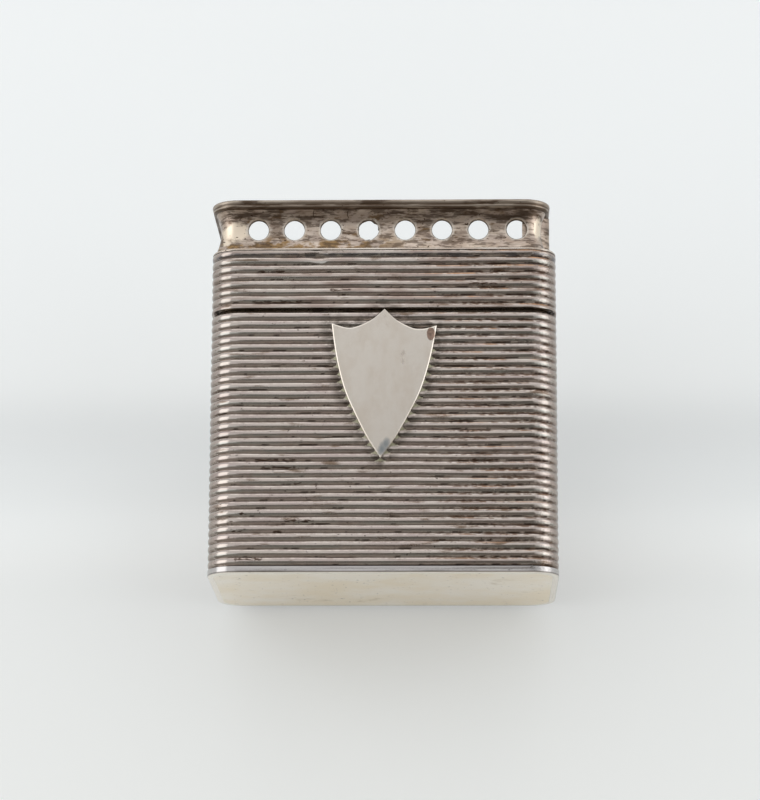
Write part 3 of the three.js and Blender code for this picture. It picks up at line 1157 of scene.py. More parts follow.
@dataclass(frozen=True)
class GalleryFinish(SilverFinish):
    """The pierced neck: brown-gold tarnish, dark patches that thicken under the rim as painted shade,
    pale patches of wear and painted highlight, and bright hole edges.
    """

    # partly wear, partly painted highlight: the colour of the pale patches
    wear_and_highlight: Colour = (226, 212, 192)
    gold: Colour = (140, 113, 76)
    dark: Colour = (82, 68, 56)
    ring: Colour = (222, 214, 202)
    edge: Colour = (78, 66, 54)
    gold_patches: Patches = Patches((0.5, 0.5, 0.9), 6.0, 12.0, (0.44, 0.54))
    soot_patches: Patches = Patches((0.28, 0.28, 1.7), 6.0, 3.0, (0.48, 0.62))
    fine_patches: Patches = Patches((0.8, 0.8, 3.4), 6.0, 19.0, (0.5, 0.58))
    foot_z: float = 30.7
    low_fade: Point2 = (0.7, 1.7)
    under_rim_shade_rise: Point2 = (2.3, 3.1)
    left_fade: Point2 = (-3.0, 5.0)
    cracks: tuple[float, ...] = (-6.53, -3.34)
    crack_rise: Point2 = (2.9, 3.2)
    front_y: Point2 = (-6.0, -5.5)
    ring_fade: Point2 = (1.04 * MM, 1.24 * MM)
    edge_fade: Point2 = (0.95 * MM, 1.02 * MM)
    # pale patches at the neck's ends: partly wear, partly painted highlight where the side lamps shine
    wear_and_highlight_places: tuple[tuple[Point3, Point3], ...] = (
        ((-13.9, -7.3, 32.5), (1.2, 1.8, 1.0)),
        ((-14.6, -7.0, 31.4), (0.5, 1.4, 0.4)),
        ((14.3, -6.6, 33.0), (0.4, 1.2, 1.3)),
    )

    def accents(self, sheet: Sheet) -> None:
        """Adds the tarnish with painted shade under the rim, the pale patches of wear and painted
        highlight, and the bright ring round each hole.

        Args:
            sheet: the surface.
        """
        up = sheet.z - self.foot_z
        low = sheet.fade(up, *self.low_fade)
        high = sheet.smooth(up, *self.under_rim_shade_rise)
        left = sheet.fade(sheet.x, *self.left_fade)
        sheet.coat(sheet.marked(self.gold_patches) * (low * left * 0.75 + 0.2), self.gold)
        # tarnish in patches, denser towards the top as painted shade under the rim
        sheet.coat(sheet.marked(self.soot_patches) * (high * 0.45 + 0.42), self.dark)
        sheet.coat(sheet.marked(self.fine_patches) * 0.7, self.dark)
        # pale patches, partly wear and partly painted highlight
        for place, radii in self.wear_and_highlight_places:
            sheet.coat(sheet.spot(place, radii, 0.3), self.wear_and_highlight)
        top = sheet.smooth(up, *self.crack_rise) * sheet.fade(sheet.y, *self.front_y)
        waver = sheet.cells(sheet.place, (0.0, 0.0, 1.5), 3.0, 6.0) - 0.5
        for x in self.cracks:
            across = waver * 0.5 + sheet.x
            crack = sheet.band(across, x, 0.02, 0.08) * top * 0.8
            sheet.coat(crack, self.edge)
        wander = sheet.cells(sheet.place, (2.0, 2.0, 2.0), 3.0, 8.0) - 0.5
        gap = wander * (0.6 * MM) + sheet.kept("hole_gap")
        sheet.coat(sheet.fade(gap, *self.ring_fade) * 0.6, self.ring)
        gap = wander * (0.2 * MM) + sheet.kept("hole_gap")
        sheet.coat(sheet.fade(gap, *self.edge_fade) * 0.85, self.edge)


@dataclass(frozen=True)
class BandedFinish(SilverFinish):
    """Silver with dark lines that run round the piece at given heights."""

    # the height and the width of each line
    lines: tuple[Point2, ...] = ()
    line_colour: Colour = (84, 68, 54)
    line_patches: Patches = Patches((0.35, 0.35, 2.0), 4.0, 3.3, (0.34, 0.5))

    def accents(self, sheet: Sheet) -> None:
        """Adds the lines, broken here and there.

        Args:
            sheet: the surface.
        """
        broken = sheet.marked(self.line_patches)
        for level, width in self.lines:
            line = sheet.band(sheet.z, level, 0.35 * width, 0.75 * width)
            sheet.coat(line * broken * 0.85, self.line_colour)


@dataclass
class Reeding:
    """The half-round reeds, the same on the body and on the lid."""

    pitch: float = 0.743
    depth: float = 0.15
    steps: int = 10
    waviness: float = 0.2
    solder_reach: float = 0.5
    solder_top: float = 21.5

    @property
    def radius(self) -> float:
        """The radius of one reed's round."""
        half = self.pitch / 2
        return (half * half + self.depth * self.depth) / (2 * self.depth)

    def levels(self, groove: float, bottom: float, top: float) -> list[Point2]:
        """Lists the points up the outside of a reeded wall.

        Args:
            groove: the height of one groove.
            bottom: the lower end of the reeded part.
            top: its upper end.

        Returns:
            Points of inset and height.
        """
        step = self.pitch / self.steps
        first = math.floor((bottom - groove) / step + 0.01) + 1
        last = math.ceil((top - groove) / step - 0.01) - 1
        between = [groove + i * step for i in range(first, last + 1)]
        return [(0.0, z) for z in (bottom, *between, top)]


REEDING = Reeding()


@dataclass
class Wall:
    """A reeded wall that is wrapped round the plan."""

    name: str
    node: str
    body: Body
    groove_z: float
    low_z: float
    top_z: float
    foot: tuple[Point2, ...] = ()
    wall_inset: float = 0.6
    middle_inset: float = 0.35
    # each streak's left end, right end and height
    streaks: tuple[Point3, ...] = ()
    streak_y: float = -9.0
    dent_place: Point3 = (0.0, 0.0, -50.0)
    dent_radius: float = 1.0
    dent_depth: float = 0.0

    def streak_lines(self, bench: Bench) -> Piece:
        """Makes a helper line on the front for each streak, where dirt has gathered.

        Args:
            bench: makes the objects.

        Returns:
            The helper.
        """
        points = [(x, self.streak_y, z) for left, right, z in self.streaks for x in (left, right)]
        edges = [(2 * i, 2 * i + 1) for i in range(len(self.streaks))]
        return bench.mesh(f"{self.name}_streaks", points, helper=True, edges=edges)

    def build(self, bench: Bench, hinge: Hinge, shield: Piece, material: Material) -> None:
        """Builds and settles the wall.

        Args:
            bench: makes the objects.
            hinge: says where the notch for the hinge is.
            shield: the shield's outline on the wall, at which the reeds are filled.
            material: the wall's finish.
        """
        bottom_z = self.foot[0][1] if self.foot else self.low_z
        section = [*self.foot, *REEDING.levels(self.groove_z, self.low_z, self.top_z)]
        section += [(self.middle_inset, self.top_z), (self.wall_inset, self.top_z)]
        section += [(self.wall_inset, bottom_z), (self.middle_inset, bottom_z)]
        wall = bench.swept(self.name, PLAN.outline(fine=True), section, material)
        lengths = {
            "Reed Start": self.groove_z,
            "Reed Pitch": REEDING.pitch,
            "Reed Depth": REEDING.depth,
            "Reed Radius": REEDING.radius,
            "Reeded From": self.low_z,
            "Reeded To": self.top_z,
            "Waviness": REEDING.waviness,
            "Solder Reach": REEDING.solder_reach,
            "Solder Top": REEDING.solder_top,
            "Dent Radius": self.dent_radius,
            "Dent Depth": self.dent_depth,
        }
        values = {name: length * MM for name, length in lengths.items()}
        values |= {"Shield": shield, "Streaks": self.streak_lines(bench)}
        values |= {"Dent Place": metres(self.dent_place), "Material": material}
        bench.shop.reeds.put_on(wall, values)
        notch = {
            "Cut Place": metres((0.0, PLAN.depth / 2, hinge.z)),
            "Cut Size": metres(hinge.notch_size(self.wall_inset)),
            "Material": material,
        }
        bench.shop.notch.put_on(wall, notch)
        bench.settle(wall, self.body, [self.node])


@dataclass
class Ring:
    """A plain ring of one section round the plan."""

    name: str
    nodes: tuple[str, ...]
    body: Body
    slot: Slot
    section: Sequence[Point2]

    def build(
        self,
        bench: Bench,
        path: Sequence[Point2],
        material: Material,
        closed: bool = True,
        holes: dict[str, Any] | None = None,
    ) -> None:
        """Builds and settles the ring.

        Args:
            bench: makes the objects.
            path: the plan that it follows.
            material: the ring's finish.
            closed: whether it goes all the way round.
            holes: where it is pierced and how.
        """
        ring = bench.swept(self.name, path, self.section, material, closed)
        if holes:
            bench.shop.pierce.put_on(ring, {**holes, "Material": material})
        bench.settle(ring, self.body, self.nodes)


@dataclass
class Plate:
    """A solid plate in the plan with a shaped edge."""

    name: str
    node: str
    body: Body
    edge: Sequence[Point2]
    rings: int = 12
    sag: float = 0.0

    def build(self, bench: Bench, material: Material) -> None:
        """Builds and settles the plate.

        Args:
            bench: makes the objects.
            material: the plate's finish.
        """
        points: list[Point3] = []
        low_inset, low_z = self.edge[0]
        high_inset, high_z = self.edge[-1]
        shares = [i / self.rings for i in range(1, self.rings)]
        for share in reversed(shares):
            points += self.flat_ring(low_inset, low_z, share)
        for inset, z in self.edge:
            points += [(x, y, z) for x, y in PLAN.outline(inset)]
        for share in shares:
            points += self.flat_ring(high_inset, high_z, share)
        count = len(PLAN.outline())
        last = len(points) - count
        faces: list[tuple[int, ...]] = []
        for low in range(0, last, count):
            faces += ring_faces(low, low + count, count)
        points += [(0.0, 0.0, low_z + self.sag), (0.0, 0.0, high_z + self.sag)]
        bottom, top = len(points) - 2, len(points) - 1
        for i in range(count):
            j = (i + 1) % count
            faces += [(bottom, j, i), (top, last + i, last + j)]
        plate = bench.solid(self.name, points, faces, material)
        bench.settle(plate, self.body, [self.node])

    def flat_ring(self, inset: float, z: float, share: float) -> list[Point3]:
        """Lists one ring of a flat face.

        Args:
            inset: the inset of the face's edge.
            z: the face's height at its edge.
            share: how far the ring is from the edge to the middle.

        Returns:
            The ring's points.
        """
        lift = self.sag * math.sin(0.5 * math.pi * share) ** 2
        keep = 1 - share
        return [(x * keep, y * keep, z + lift) for x, y in PLAN.outline(inset)]


@dataclass
class Shield:
    """The plain shield that is soldered on the front of the body."""

    thickness: float = 0.32
    tip: Point2 = (-0.2, 10.55)
    tilt: float = 1.4
    wall_y: float = -9.0
    bevel: float = 0.09
    side: tuple[Point2, ...] = (
        (0.0, 0.0), (1.3, 1.95), (2.46, 4.15), (3.44, 6.3), (4.12, 8.6), (4.56, 10.75),
        (4.84, 12.62),
    )
    top: tuple[Point2, ...] = ((4.84, 12.62), (3.5, 12.25), (2.5, 12.38), (1.1, 13.1), (0.0, 14.12))
    steps: int = 6

    def spline(self, points: Sequence[Point2]) -> list[Point2]:
        """Runs a smooth curve through points.

        Args:
            points: the points that it passes.

        Returns:
            The curve's points.
        """
        ends = [points[0], *points, points[-1]]
        found: list[Point2] = []
        for i in range(1, len(ends) - 2):
            p0, p1, p2, p3 = (Vector(ends[i + k]) for k in (-1, 0, 1, 2))
            for step in range(self.steps):
                t = step / self.steps
                curve = (
                    2 * p1
                    + (p2 - p0) * t
                    + (2 * p0 - 5 * p1 + 4 * p2 - p3) * t * t
                    + (3 * p1 - p0 - 3 * p2 + p3) * t * t * t
                )
                found.append(tuple(0.5 * curve))
        return [*found, points[-1]]

    def outline(self) -> list[Point2]:
        """Lists the outline from the tip up the right side, in X and Z of the box.

        Returns:
            The outline's points, turned and in place.
        """
        half = [*self.spline(self.side), *self.spline(self.top)[1:]]
        both = [*half, *[(-x, z) for x, z in reversed(half[1:-1])]]
        turn = math.radians(-self.tilt)
        cos, sin = math.cos(turn), math.sin(turn)
        return [
            (self.tip[0] + x * cos - z * sin, self.tip[1] + x * sin + z * cos) for x, z in both
        ]

    def footprint(self, bench: Bench) -> Piece:
        """Makes the helper face where the shield meets the wall."""
        points = [(x, self.wall_y, z) for x, z in self.outline()]
        return bench.mesh("shield_footprint", points, [range(len(points))], helper=True)

    def build(self, bench: Bench, material: Material) -> None:
        """Builds and settles the shield.

        Args:
            bench: makes the objects.
            material: the shield's finish.
        """
        outline = self.outline()
        count = len(outline)
        front = self.wall_y - self.thickness
        rings = (
            self.ring(outline, 0.0, self.wall_y),
            self.ring(outline, 0.0, front + 0.6 * self.bevel),
            self.ring(outline, self.bevel, front),
        )
        points = [point for ring in rings for point in ring]
        faces = [*ring_faces(0, count, count), *ring_faces(count, 2 * count, count)]
        for low, ring in ((0, rings[0]), (2 * count, rings[2])):
            flat = [Vector((x, z, 0.0)) for x, _, z in ring]
            for corners in tessellate_polygon([flat]):
                faces.append(tuple(low + i for i in corners))
        shield = bench.solid("shield", points, faces, material)
        bench.settle(shield, Body.BOX, ["shield_cartouche"], sharp=20.0)

    @staticmethod
    def ring(outline: Sequence[Point2], inset: float, y: float) -> list[Point3]:
        """Sets the outline in, square to its sides, and puts it at a depth.

        Args:
            outline: the outline, anticlockwise seen from the front.
            inset: how far it is set in.
            y: the depth.

        Returns:
            The ring's points.
        """
        ring = []
        for i, (x, z) in enumerate(outline):
            here = Vector((x, z))
            before = (here - Vector(outline[i - 1])).normalized()
            after = (Vector(outline[(i + 1) % len(outline)]) - here).normalized()
            way = Vector((-before.y - after.y, before.x + after.x))
            square = max(way.length_squared / 2, 0.5)
            moved = here + way * (inset / square)
            ring.append((moved.x, y, moved.y))
        return ring


@dataclass
class Hinge:
    """The five knuckles along the back and their pin."""

    z: float = 24.67
    y: float = 9.1
    length: float = 26.0
    radius: float = 0.59
    gap: float = 0.16
    count: int = 5
    pin_radius: float = 0.3
    clearance: float = 0.06
    solder_gap: float = 0.04
    side_clearance: float = 0.15
    soft: float = 0.07
    soft_share: float = 0.3
    pin_soft: float = 0.06
    sides: int = 40
    names: tuple[str, ...] = ("body_left", "lid_left", "body_centre", "lid_right", "body_right")

    @property
    def knuckle(self) -> float:
        """The length of one knuckle."""
        return (self.length - (self.count - 1) * self.gap) / self.count

    def notch_size(self, wall: float) -> Point3:
        """Gives the size of the notch that the hinge lies in."""
        height = 2 * (self.radius + self.solder_gap)
        return (self.length + 2 * self.side_clearance, 4 * wall, height)

    def centre(self, index: int) -> Point3:
        """Gives the middle of a knuckle."""
        x = (index - (self.count - 1) / 2) * (self.knuckle + self.gap)
        return (x, self.y, self.z)

    def along_x(self, bench: Bench, name: str, profile: list[Point2]) -> Piece:
        """Turns a profile into a helper that lies along X.

        Args:
            bench: makes the objects.
            name: the helper's name.
            profile: points of radius and place along the axis.

        Returns:
            The helper.
        """
        tube = bench.lathe(name, profile, self.sides)
        tube.data.transform(Matrix.Rotation(math.pi / 2, 4, "Y"))
        return tube

    def tube(self, inner: float, outer: float, half: float, soft: float) -> list[Point2]:
        """Lists the outer side of a tube's profile, with softened ends.

        Args:
            inner: the radius at which the ends start.
            outer: the outer radius.
            half: half the length.
            soft: how far the ends are softened.

        Returns:
            Points of radius and place along the axis.
        """
        near = self.soft_share * soft
        end = [(inner, -half), (outer - soft, -half)]
        end += [(outer - near, -half + near), (outer, -half + soft)]
        return [*end, *[(radius, -place) for radius, place in reversed(end)]]

    def build(self, bench: Bench, material: Material) -> None:
        """Builds and settles the knuckles of each body, and the pin.

        Args:
            bench: makes the objects.
            material: the hinge's finish.
        """
        bore = self.pin_radius + self.clearance
        profile = self.tube(bore, self.radius, self.knuckle / 2, self.soft)
        tube = self.along_x(bench, "hinge_tube", profile)
        end = self.length / 2
        side = self.pin_radius - self.pin_soft
        pin_profile = [(0.0, -end), (side, -end), (self.pin_radius, -end + self.pin_soft)]
        pin_profile += [(radius, -place) for radius, place in reversed(pin_profile)]
        rod = self.along_x(bench, "hinge_rod", pin_profile)
        rows = []
        for body, indices in ((Body.BOX, (0, 2, 4)), (Body.LID, (1, 3))):
            places = [self.centre(i) for i in indices]
            nodes = [f"hinge_knuckle_{self.names[i]}" for i in indices]
            rows.append((f"hinge_knuckles_of_{body.value}", places, tube, body, nodes))
        rows.append(("pin", [(0.0, self.y, self.z)], rod, Body.BOX, ["hinge_pin"]))
        for name, places, shape, body, nodes in rows:
            marks = bench.mesh(f"{name}_marks", places, helper=True)
            row = bench.mesh(name, [])
            values = {"Marks": marks, "Tube": shape, "Material": material}
            bench.shop.tubes.put_on(row, values)
            bench.settle(row, body, nodes)


@dataclass
class Gallery:
    """The pierced, waisted strip on the lid and its moulded rim."""

    shift_x: float = -0.3
    foot_z: float = 30.695
    height: float = 3.85
    thickness: float = 0.35
    foot_inset: float = 0.62
    waist_inset: float = 1.12
    top_inset: float = 0.65
    waist_level: float = 0.58
    steps: int = 16
    hole_radius: float = 0.935
    hole_level: float = 0.52
    hole_sides: int = 56
    hole_unevenness: float = 0.02
    ragged_hole: int = 3
    ragged_depth: float = 0.5
    random_seed: int = 4
    front_holes: int = 8
    front_margin: float = 4.06
    side_holes: int = 4
    side_margin: float = 4.35
    row_shift_x: float = 0.33
    front_offsets: tuple[float, ...] = (0.02, -0.07, -0.12, -0.03, -0.05, -0.05, -0.09, 0.03)
    plain_holes: int = 3
    plain_hole_y: float = -0.4
    plain_radius: float = 1.29
    plain_out: float = 1.16
    plain_bend: float = 1.9
    bend_steps: int = 10
    plain_front_lap: float = 0.17
    plain_back_lap: float = 0.8
    plain_top_z: float = 34.69
    rim_height: float = 0.85
    rim_outer_inset: float = 0.25
    rim_overhang: float = 0.25

    def inset(self, share: float) -> float:
        """Gives how far the neck stands in.

        Args:
            share: the place, as a share of the neck's height.

        Returns:
            The inset.
        """
        if share <= self.waist_level:
            end, away = self.foot_inset, 1 - share / self.waist_level
        else:
            end = self.top_inset
            away = (share - self.waist_level) / (1 - self.waist_level)
        return self.waist_inset - (self.waist_inset - end) * away * away

    def neck_section(self) -> list[Point2]:
        """Lists the neck's section.

        Returns:
            Points of inset and height, up the outside and down the inside.
        """
        shares = [i / self.steps for i in range(self.steps + 1)]
        outside = [(self.inset(s), self.foot_z + s * self.height) for s in shares]
        inside = [(inset + self.thickness, z) for inset, z in reversed(outside)]
        return outside + inside

    def plain_section(self) -> list[Point2]:
        """Lists the section of the plain length: straight up, with no waist.

        Returns:
            Points of inset and height, up the outside and down the inside.
        """
        levels = stations(self.foot_z, self.plain_top_z, 0.3)
        return [(0.0, z) for z in levels] + [(self.thickness, z) for z in reversed(levels)]

    def neck_path(self) -> list[Point2]:
        """Lists the neck's plan, open on the right, where the plain length closes it.

        Returns:
            The path from the right side round the back and the front to the right corner.
        """
        corner_y = PLAN.depth / 2 - PLAN.radius
        side_x = PLAN.width / 2 + self.shift_x
        outline = PLAN.outline(shift_x=self.shift_x)
        right = [i for i, (x, y) in enumerate(outline) if x > side_x - 1e-6 and abs(y) <= corner_y]
        start = (side_x, corner_y - self.plain_back_lap)
        return [start, *outline[right[-1] :], *outline[: right[0] + 1]]

    def plain_path(self) -> list[Point2]:
        """Lists the plan of the plain length, lapped inside the neck at both ends.

        Returns:
            The path from the front corner along the right side.
        """
        corner_x = PLAN.width / 2 - PLAN.radius
        corner_y = PLAN.depth / 2 - PLAN.radius
        inner_x = corner_x + self.plain_radius
        back_y = corner_y - self.plain_back_lap
        starts = (corner_x - self.plain_front_lap, corner_x)
        path = [(x, -corner_y - self.plain_radius) for x in starts]
        path += [*PLAN.arc((corner_x, -corner_y), self.plain_radius, -90), (inner_x, -corner_y)]
        shares = [i / self.bend_steps for i in range(1, self.bend_steps + 1)]
        for share in shares:
            out = self.plain_out * (1 - math.cos(math.pi * share)) / 2
            path.append((inner_x + out, -corner_y + self.plain_bend * share))
        straight = stations(-corner_y + self.plain_bend, back_y - self.plain_bend, 0.5)
        path += [(inner_x + self.plain_out, y) for y in straight[1:]]
        for share in shares:
            out = self.plain_out * (1 + math.cos(math.pi * share)) / 2
            path.append((inner_x + out, back_y - self.plain_bend * (1 - share)))
        path.append((inner_x, corner_y))
        return [(x + self.shift_x, y) for x, y in path]

    def marks(self, bench: Bench, name: str, places: Sequence[tuple[Point3, Point3]]) -> Piece:
        """Makes the helper points where a strip is pierced, each with the way it faces.

        Args:
            bench: makes the objects.
            name: the helper's name.
            places: the place and the way of each hole.

        Returns:
            The helper.
        """
        marks = bench.mesh(name, [place for place, _ in places], helper=True)
        facing = marks.data.attributes.new("facing", "FLOAT_VECTOR", "POINT")
        for item, (_, way) in zip(facing.data, places):
            item.vector = way
        return marks

    def neck_places(self) -> list[tuple[Point3, Point3]]:
        """Lists the holes of the neck: the front row, the back row and the left side.

        Returns:
            The place and the way of each hole.
        """
        z = self.foot_z + self.hole_level * self.height
        wall = self.inset(self.hole_level)
        edge_x = PLAN.width / 2 - wall
        edge_y = PLAN.depth / 2 - wall
        pitch = (PLAN.width - 2 * self.front_margin) / (self.front_holes - 1)
        places: list[tuple[Point3, Point3]] = []
        for i, offset in enumerate(self.front_offsets):
            x = self.row_shift_x + (i - (self.front_holes - 1) / 2) * pitch
            places.append(((x + offset, -edge_y, z), (0.0, -1.0, 0.0)))
            places.append(((x, edge_y, z), (0.0, 1.0, 0.0)))
        for i in range(self.side_holes):
            y = (i - (self.side_holes - 1) / 2) * self.side_pitch
            places.append(((self.shift_x - edge_x, y, z), (-1.0, 0.0, 0.0)))
        return places

    def plain_places(self) -> list[tuple[Point3, Point3]]:
        """Lists the holes of the plain length.

        Returns:
            The place and the way of each hole.
        """
        z = self.foot_z + self.hole_level * self.height
        x = PLAN.width / 2 - PLAN.radius + self.plain_radius + self.plain_out + self.shift_x
        middle = (self.plain_holes - 1) / 2
        rows = [self.plain_hole_y + (i - middle) * self.side_pitch for i in range(self.plain_holes)]
        return [((x, y, z), (1.0, 0.0, 0.0)) for y in rows]

    @property
    def side_pitch(self) -> float:
        """The distance between two holes of a side."""
        return (PLAN.depth - 2 * self.side_margin) / (self.side_holes - 1)

    def punch(self, bench: Bench) -> Piece:
        """Makes the helper that cuts one hole, wider where it leaves the outer face.

        Args:
            bench: makes the objects.

        Returns:
            The helper.
        """
        radius = self.hole_radius
        profile = [
            (0.0, -0.75),
            (radius, -0.75),
            (radius, -0.1),
            (radius + 0.02, -0.04),
            (radius + 0.08, 0.02),
            (radius + 0.16, 0.12),
            (radius + 0.16, 0.5),
            (0.0, 0.5),
        ]
        return bench.lathe("hole_punch", profile, self.hole_sides)

    def build(self, bench: Bench, neck_material: Material, rim_material: Material) -> None:
        """Builds and settles the neck, its plain length and the rim.

        Args:
            bench: makes the objects.
            neck_material: the neck's finish.
            rim_material: the rim's finish.
        """
        holes = {
            "Punch": self.punch(bench),
            "Uneven Share": self.hole_unevenness,
            "Ragged Depth": self.ragged_depth * MM,
            "Seed": self.random_seed,
        }
        neck_marks = self.marks(bench, "neck_marks", self.neck_places())
        plain_marks = self.marks(bench, "plain_marks", self.plain_places())
        holes["Ragged Place"] = tuple(neck_marks.data.vertices[2 * self.ragged_hole].co)
        for name, nodes, section, path, marks in (
            ("gallery_neck", ("gallery",), self.neck_section(), self.neck_path(), neck_marks),
            ("gallery_plain_length", (), self.plain_section(), self.plain_path(), plain_marks),
        ):
            strip = Ring(name, nodes, Body.LID, Slot.GALLERY, section)
            strip.build(bench, path, neck_material, False, {**holes, "Marks": marks})
        rim = Ring("gallery_rim_wire", ("gallery_rim",), Body.LID, Slot.RIM, self.rim_section())
        rim.build(bench, PLAN.outline(shift_x=self.shift_x), rim_material)

    def rim_section(self) -> list[Point2]:
        """Lists the rim's section: a round nose over a groove and a smaller bead.

        Returns:
            Points of inset and height, up the outside and down the inside.
        """
        base = self.foot_z + self.height
        inner = self.top_inset + self.thickness
        outer = self.rim_outer_inset
        nose = [
            (0.16, 0.12), (0.115, 0.2), (0.09, 0.3), (0.085, 0.38), (0.1, 0.44), (0.095, 0.5),
            (0.05, 0.57), (0.015, 0.66), (0.0, 0.76), (0.01, 0.86), (0.05, 0.94), (0.12, 1.0),
        ]
        section = [(self.top_inset, base)]
        section += [(outer + inset, base + share * self.rim_height) for inset, share in nose]
        top = base + self.rim_height
        lip = inner + self.rim_overhang
        section += [(lip - 0.12, top), (lip - 0.03, top - 0.04), (lip, top - 0.12)]
        return [*section, (lip - 0.04, top - 0.3), (inner, base)]


@dataclass(frozen=True)
class SoftLight:
    """A soft box that faces the middle of the object."""

    name: str
    place: Point3
    size: Point2
    radiance: float
    colour: Colour = (255, 255, 255)
    target: Point3 = (0.0, 0.0, 17.0)

    def build(self) -> None:
        """Puts the light in the scene."""
        data = bpy.data.lights.new(self.name, "AREA")
        data.shape = "RECTANGLE"
        data.size, data.size_y = metres(self.size)
        data.energy = self.radiance * math.pi * data.size * data.size_y
        data.color = linear(self.colour)[:3]
        place = Vector(metres(self.place))
        way = Vector(metres(self.target)) - place
        turn = way.to_track_quat("-Z", "Y").to_matrix().to_4x4()
        linked(self.name, data).matrix_world = Matrix.Translation(place) @ turn


@dataclass
class Studio:
    """The pale stage, the soft light and the camera."""

    pale: Colour = (224, 228, 229)
    # painted shade: the paper's colour at the bottom
    pale_low_shaded: Colour = (223, 226, 225)
    sky: Colour = (243, 243, 244)
    room: Colour = (156, 150, 144)
    deep_room: Colour = (188, 181, 174)
    card_grey: Colour = (124, 119, 113)
    room_from: Point2 = (-0.95, -0.6)
    sky_from: Point2 = (-0.24, -0.12)
    behind_from: Point2 = (0.2, 0.6)
    world_strength: float = 1.0
    shade_tone_z: Point2 = (-40.0, 60.0)
    bend_rise_z: Point2 = (1.0, 10.0)
    bend_fade_z: Point2 = (14.0, 24.0)
    paper_glow: float = 0.3
    bend_glow: float = 0.12
    sheet_reach: float = 110.0
    sheet_touch_y: float = 9.85
    sheet_back_y: float = 27.0
    sheet_bend: Point2 = (2.0, 30.0)
    sheet_step: float = 0.5
    floor_reach: float = 3000.0
    floor_drop: float = 0.02
    card_y: float = -400.0
    card_edge: tuple[Point2, ...] = (
        (-60.0, -130.0), (-5.0, -150.0), (10.0, -330.0), (160.0, -380.0), (160.0, 130.0),
        (29.0, 110.0), (4.0, 72.0), (-60.0, 70.0),
    )
    lens: float = 137.64
    camera_place: Point3 = (6.95, -281.77, -49.95)
    camera_right: Point3 = (0.99967, 0.02559, 0.00345)
    camera_up: Point3 = (0.00266, -0.23515, 0.97196)
    camera_back: Point3 = (0.02568, -0.97162, -0.23514)

    def paper(
        self, name: str, faces: Point3, glow: float, bend_glow: float, in_gloss: bool
    ) -> Material:
        """Makes a pale paper that shows only from its front.

        Args:
            name: the material's name.
            faces: the way that it is shaded, the same all over, so that a bend doesn't show.
            glow: its brightness where no light falls.
            bend_glow: how much brighter it is where it bends.
            in_gloss: whether the metal shows it too.

        Returns:
            The material.
        """
        material = bpy.data.materials.new(name)
        build = empty_tree(material)
        height = build.axis("Z", build.wire("ShaderNodeTexCoord", "Object"))
        # painted shade: the paper is a little darker towards the bottom
        tone = build.mix(build.smooth(height, *metres(self.shade_tone_z)), self.pale_low_shaded, self.pale)
        facing = build.add("ShaderNodeCombineXYZ", dict(enumerate(faces)))
        dull = build.add("ShaderNodeBsdfDiffuse", {"Color": tone, "Normal": facing})
        rise = build.smooth(height, *metres(self.bend_rise_z))
        bend = rise * build.fade(height, *metres(self.bend_fade_z))
        lit = build.add("ShaderNodeEmission", {"Color": tone, "Strength": bend * bend_glow + glow})
        sheet = build.add("ShaderNodeAddShader", {0: dull, 1: lit})
        rays = ("Is Camera Ray", "Is Glossy Ray", "Is Transmission Ray")
        seen: Any = 0.0
        for ray in rays if in_gloss else rays[:1]:
            seen = build.math("MAXIMUM", seen, build.wire("ShaderNodeLightPath", ray))
        front = 1.0 - build.wire("ShaderNodeNewGeometry", "Backfacing")
        clear = build.add("ShaderNodeBsdfTransparent")
        mixed = build.add("ShaderNodeMixShader", {0: seen * front, 1: clear, 2: sheet})
        build.add("ShaderNodeOutputMaterial", {"Surface": mixed})
        return material

    def build(self, bench: Bench) -> None:
        """Builds the stage, the lights, the world and the camera.

        Args:
            bench: makes the objects.
        """
        self.build_sheet(bench)
        self.build_floor(bench)
        self.build_card(bench)
        for light in (
            SoftLight("soft_box_left", (-260, -150, 60), (220, 300), 1.05),
            SoftLight("soft_box_right", (280, -110, 40), (160, 300), 1.25),
            SoftLight("soft_box_top", (0, -120, 330), (300, 200), 0.5),
        ):
            light.build()
        self.build_world()
        self.build_camera()
        bpy.context.scene.view_settings.view_transform = "Standard"

    def build_sheet(self, bench: Bench) -> Piece:
        """Makes the pale sheet behind the box, which bends back above the box's foot.

        Args:
            bench: makes the objects.

        Returns:
            The sheet.
        """
        reach = self.sheet_reach
        low, high = self.sheet_bend
        points: list[Point3] = []
        levels = [-reach, *stations(low, high, self.sheet_step), 2 * reach]
        for z in levels:
            share = min(max((z - low) / (high - low), 0.0), 1.0)
            ease = share**3 * (10 - 15 * share + 6 * share * share)
            y = self.sheet_touch_y + (self.sheet_back_y - self.sheet_touch_y) * ease
            points += [(-reach, y, z), (reach, y, z)]
        faces = [(2 * i, 2 * i + 1, 2 * i + 3, 2 * i + 2) for i in range(len(levels) - 1)]
        sheet = bench.mesh("backdrop", points, faces)
        forwards = (0.0, -1.0, 0.0)
        paper = self.paper("backdrop_paper", forwards, self.paper_glow, self.bend_glow, True)
        sheet.data.materials.append(paper)
        sheet.data.shade_smooth()
        return sheet

    def build_floor(self, bench: Bench) -> Piece:
        """Makes the pale floor just under the box.

        Args:
            bench: makes the objects.

        Returns:
            The floor.
        """
        wide = self.floor_reach
        square = ((-wide, -wide), (wide, -wide), (wide, wide), (-wide, wide))
        floor = bench.mesh("floor", [(x, y, -self.floor_drop) for x, y in square], [(0, 1, 2, 3)])
        paper = self.paper("floor_paper", (0.0, 0.0, 1.0), self.paper_glow, 0.0, False)
        floor.data.materials.append(paper)
        return floor

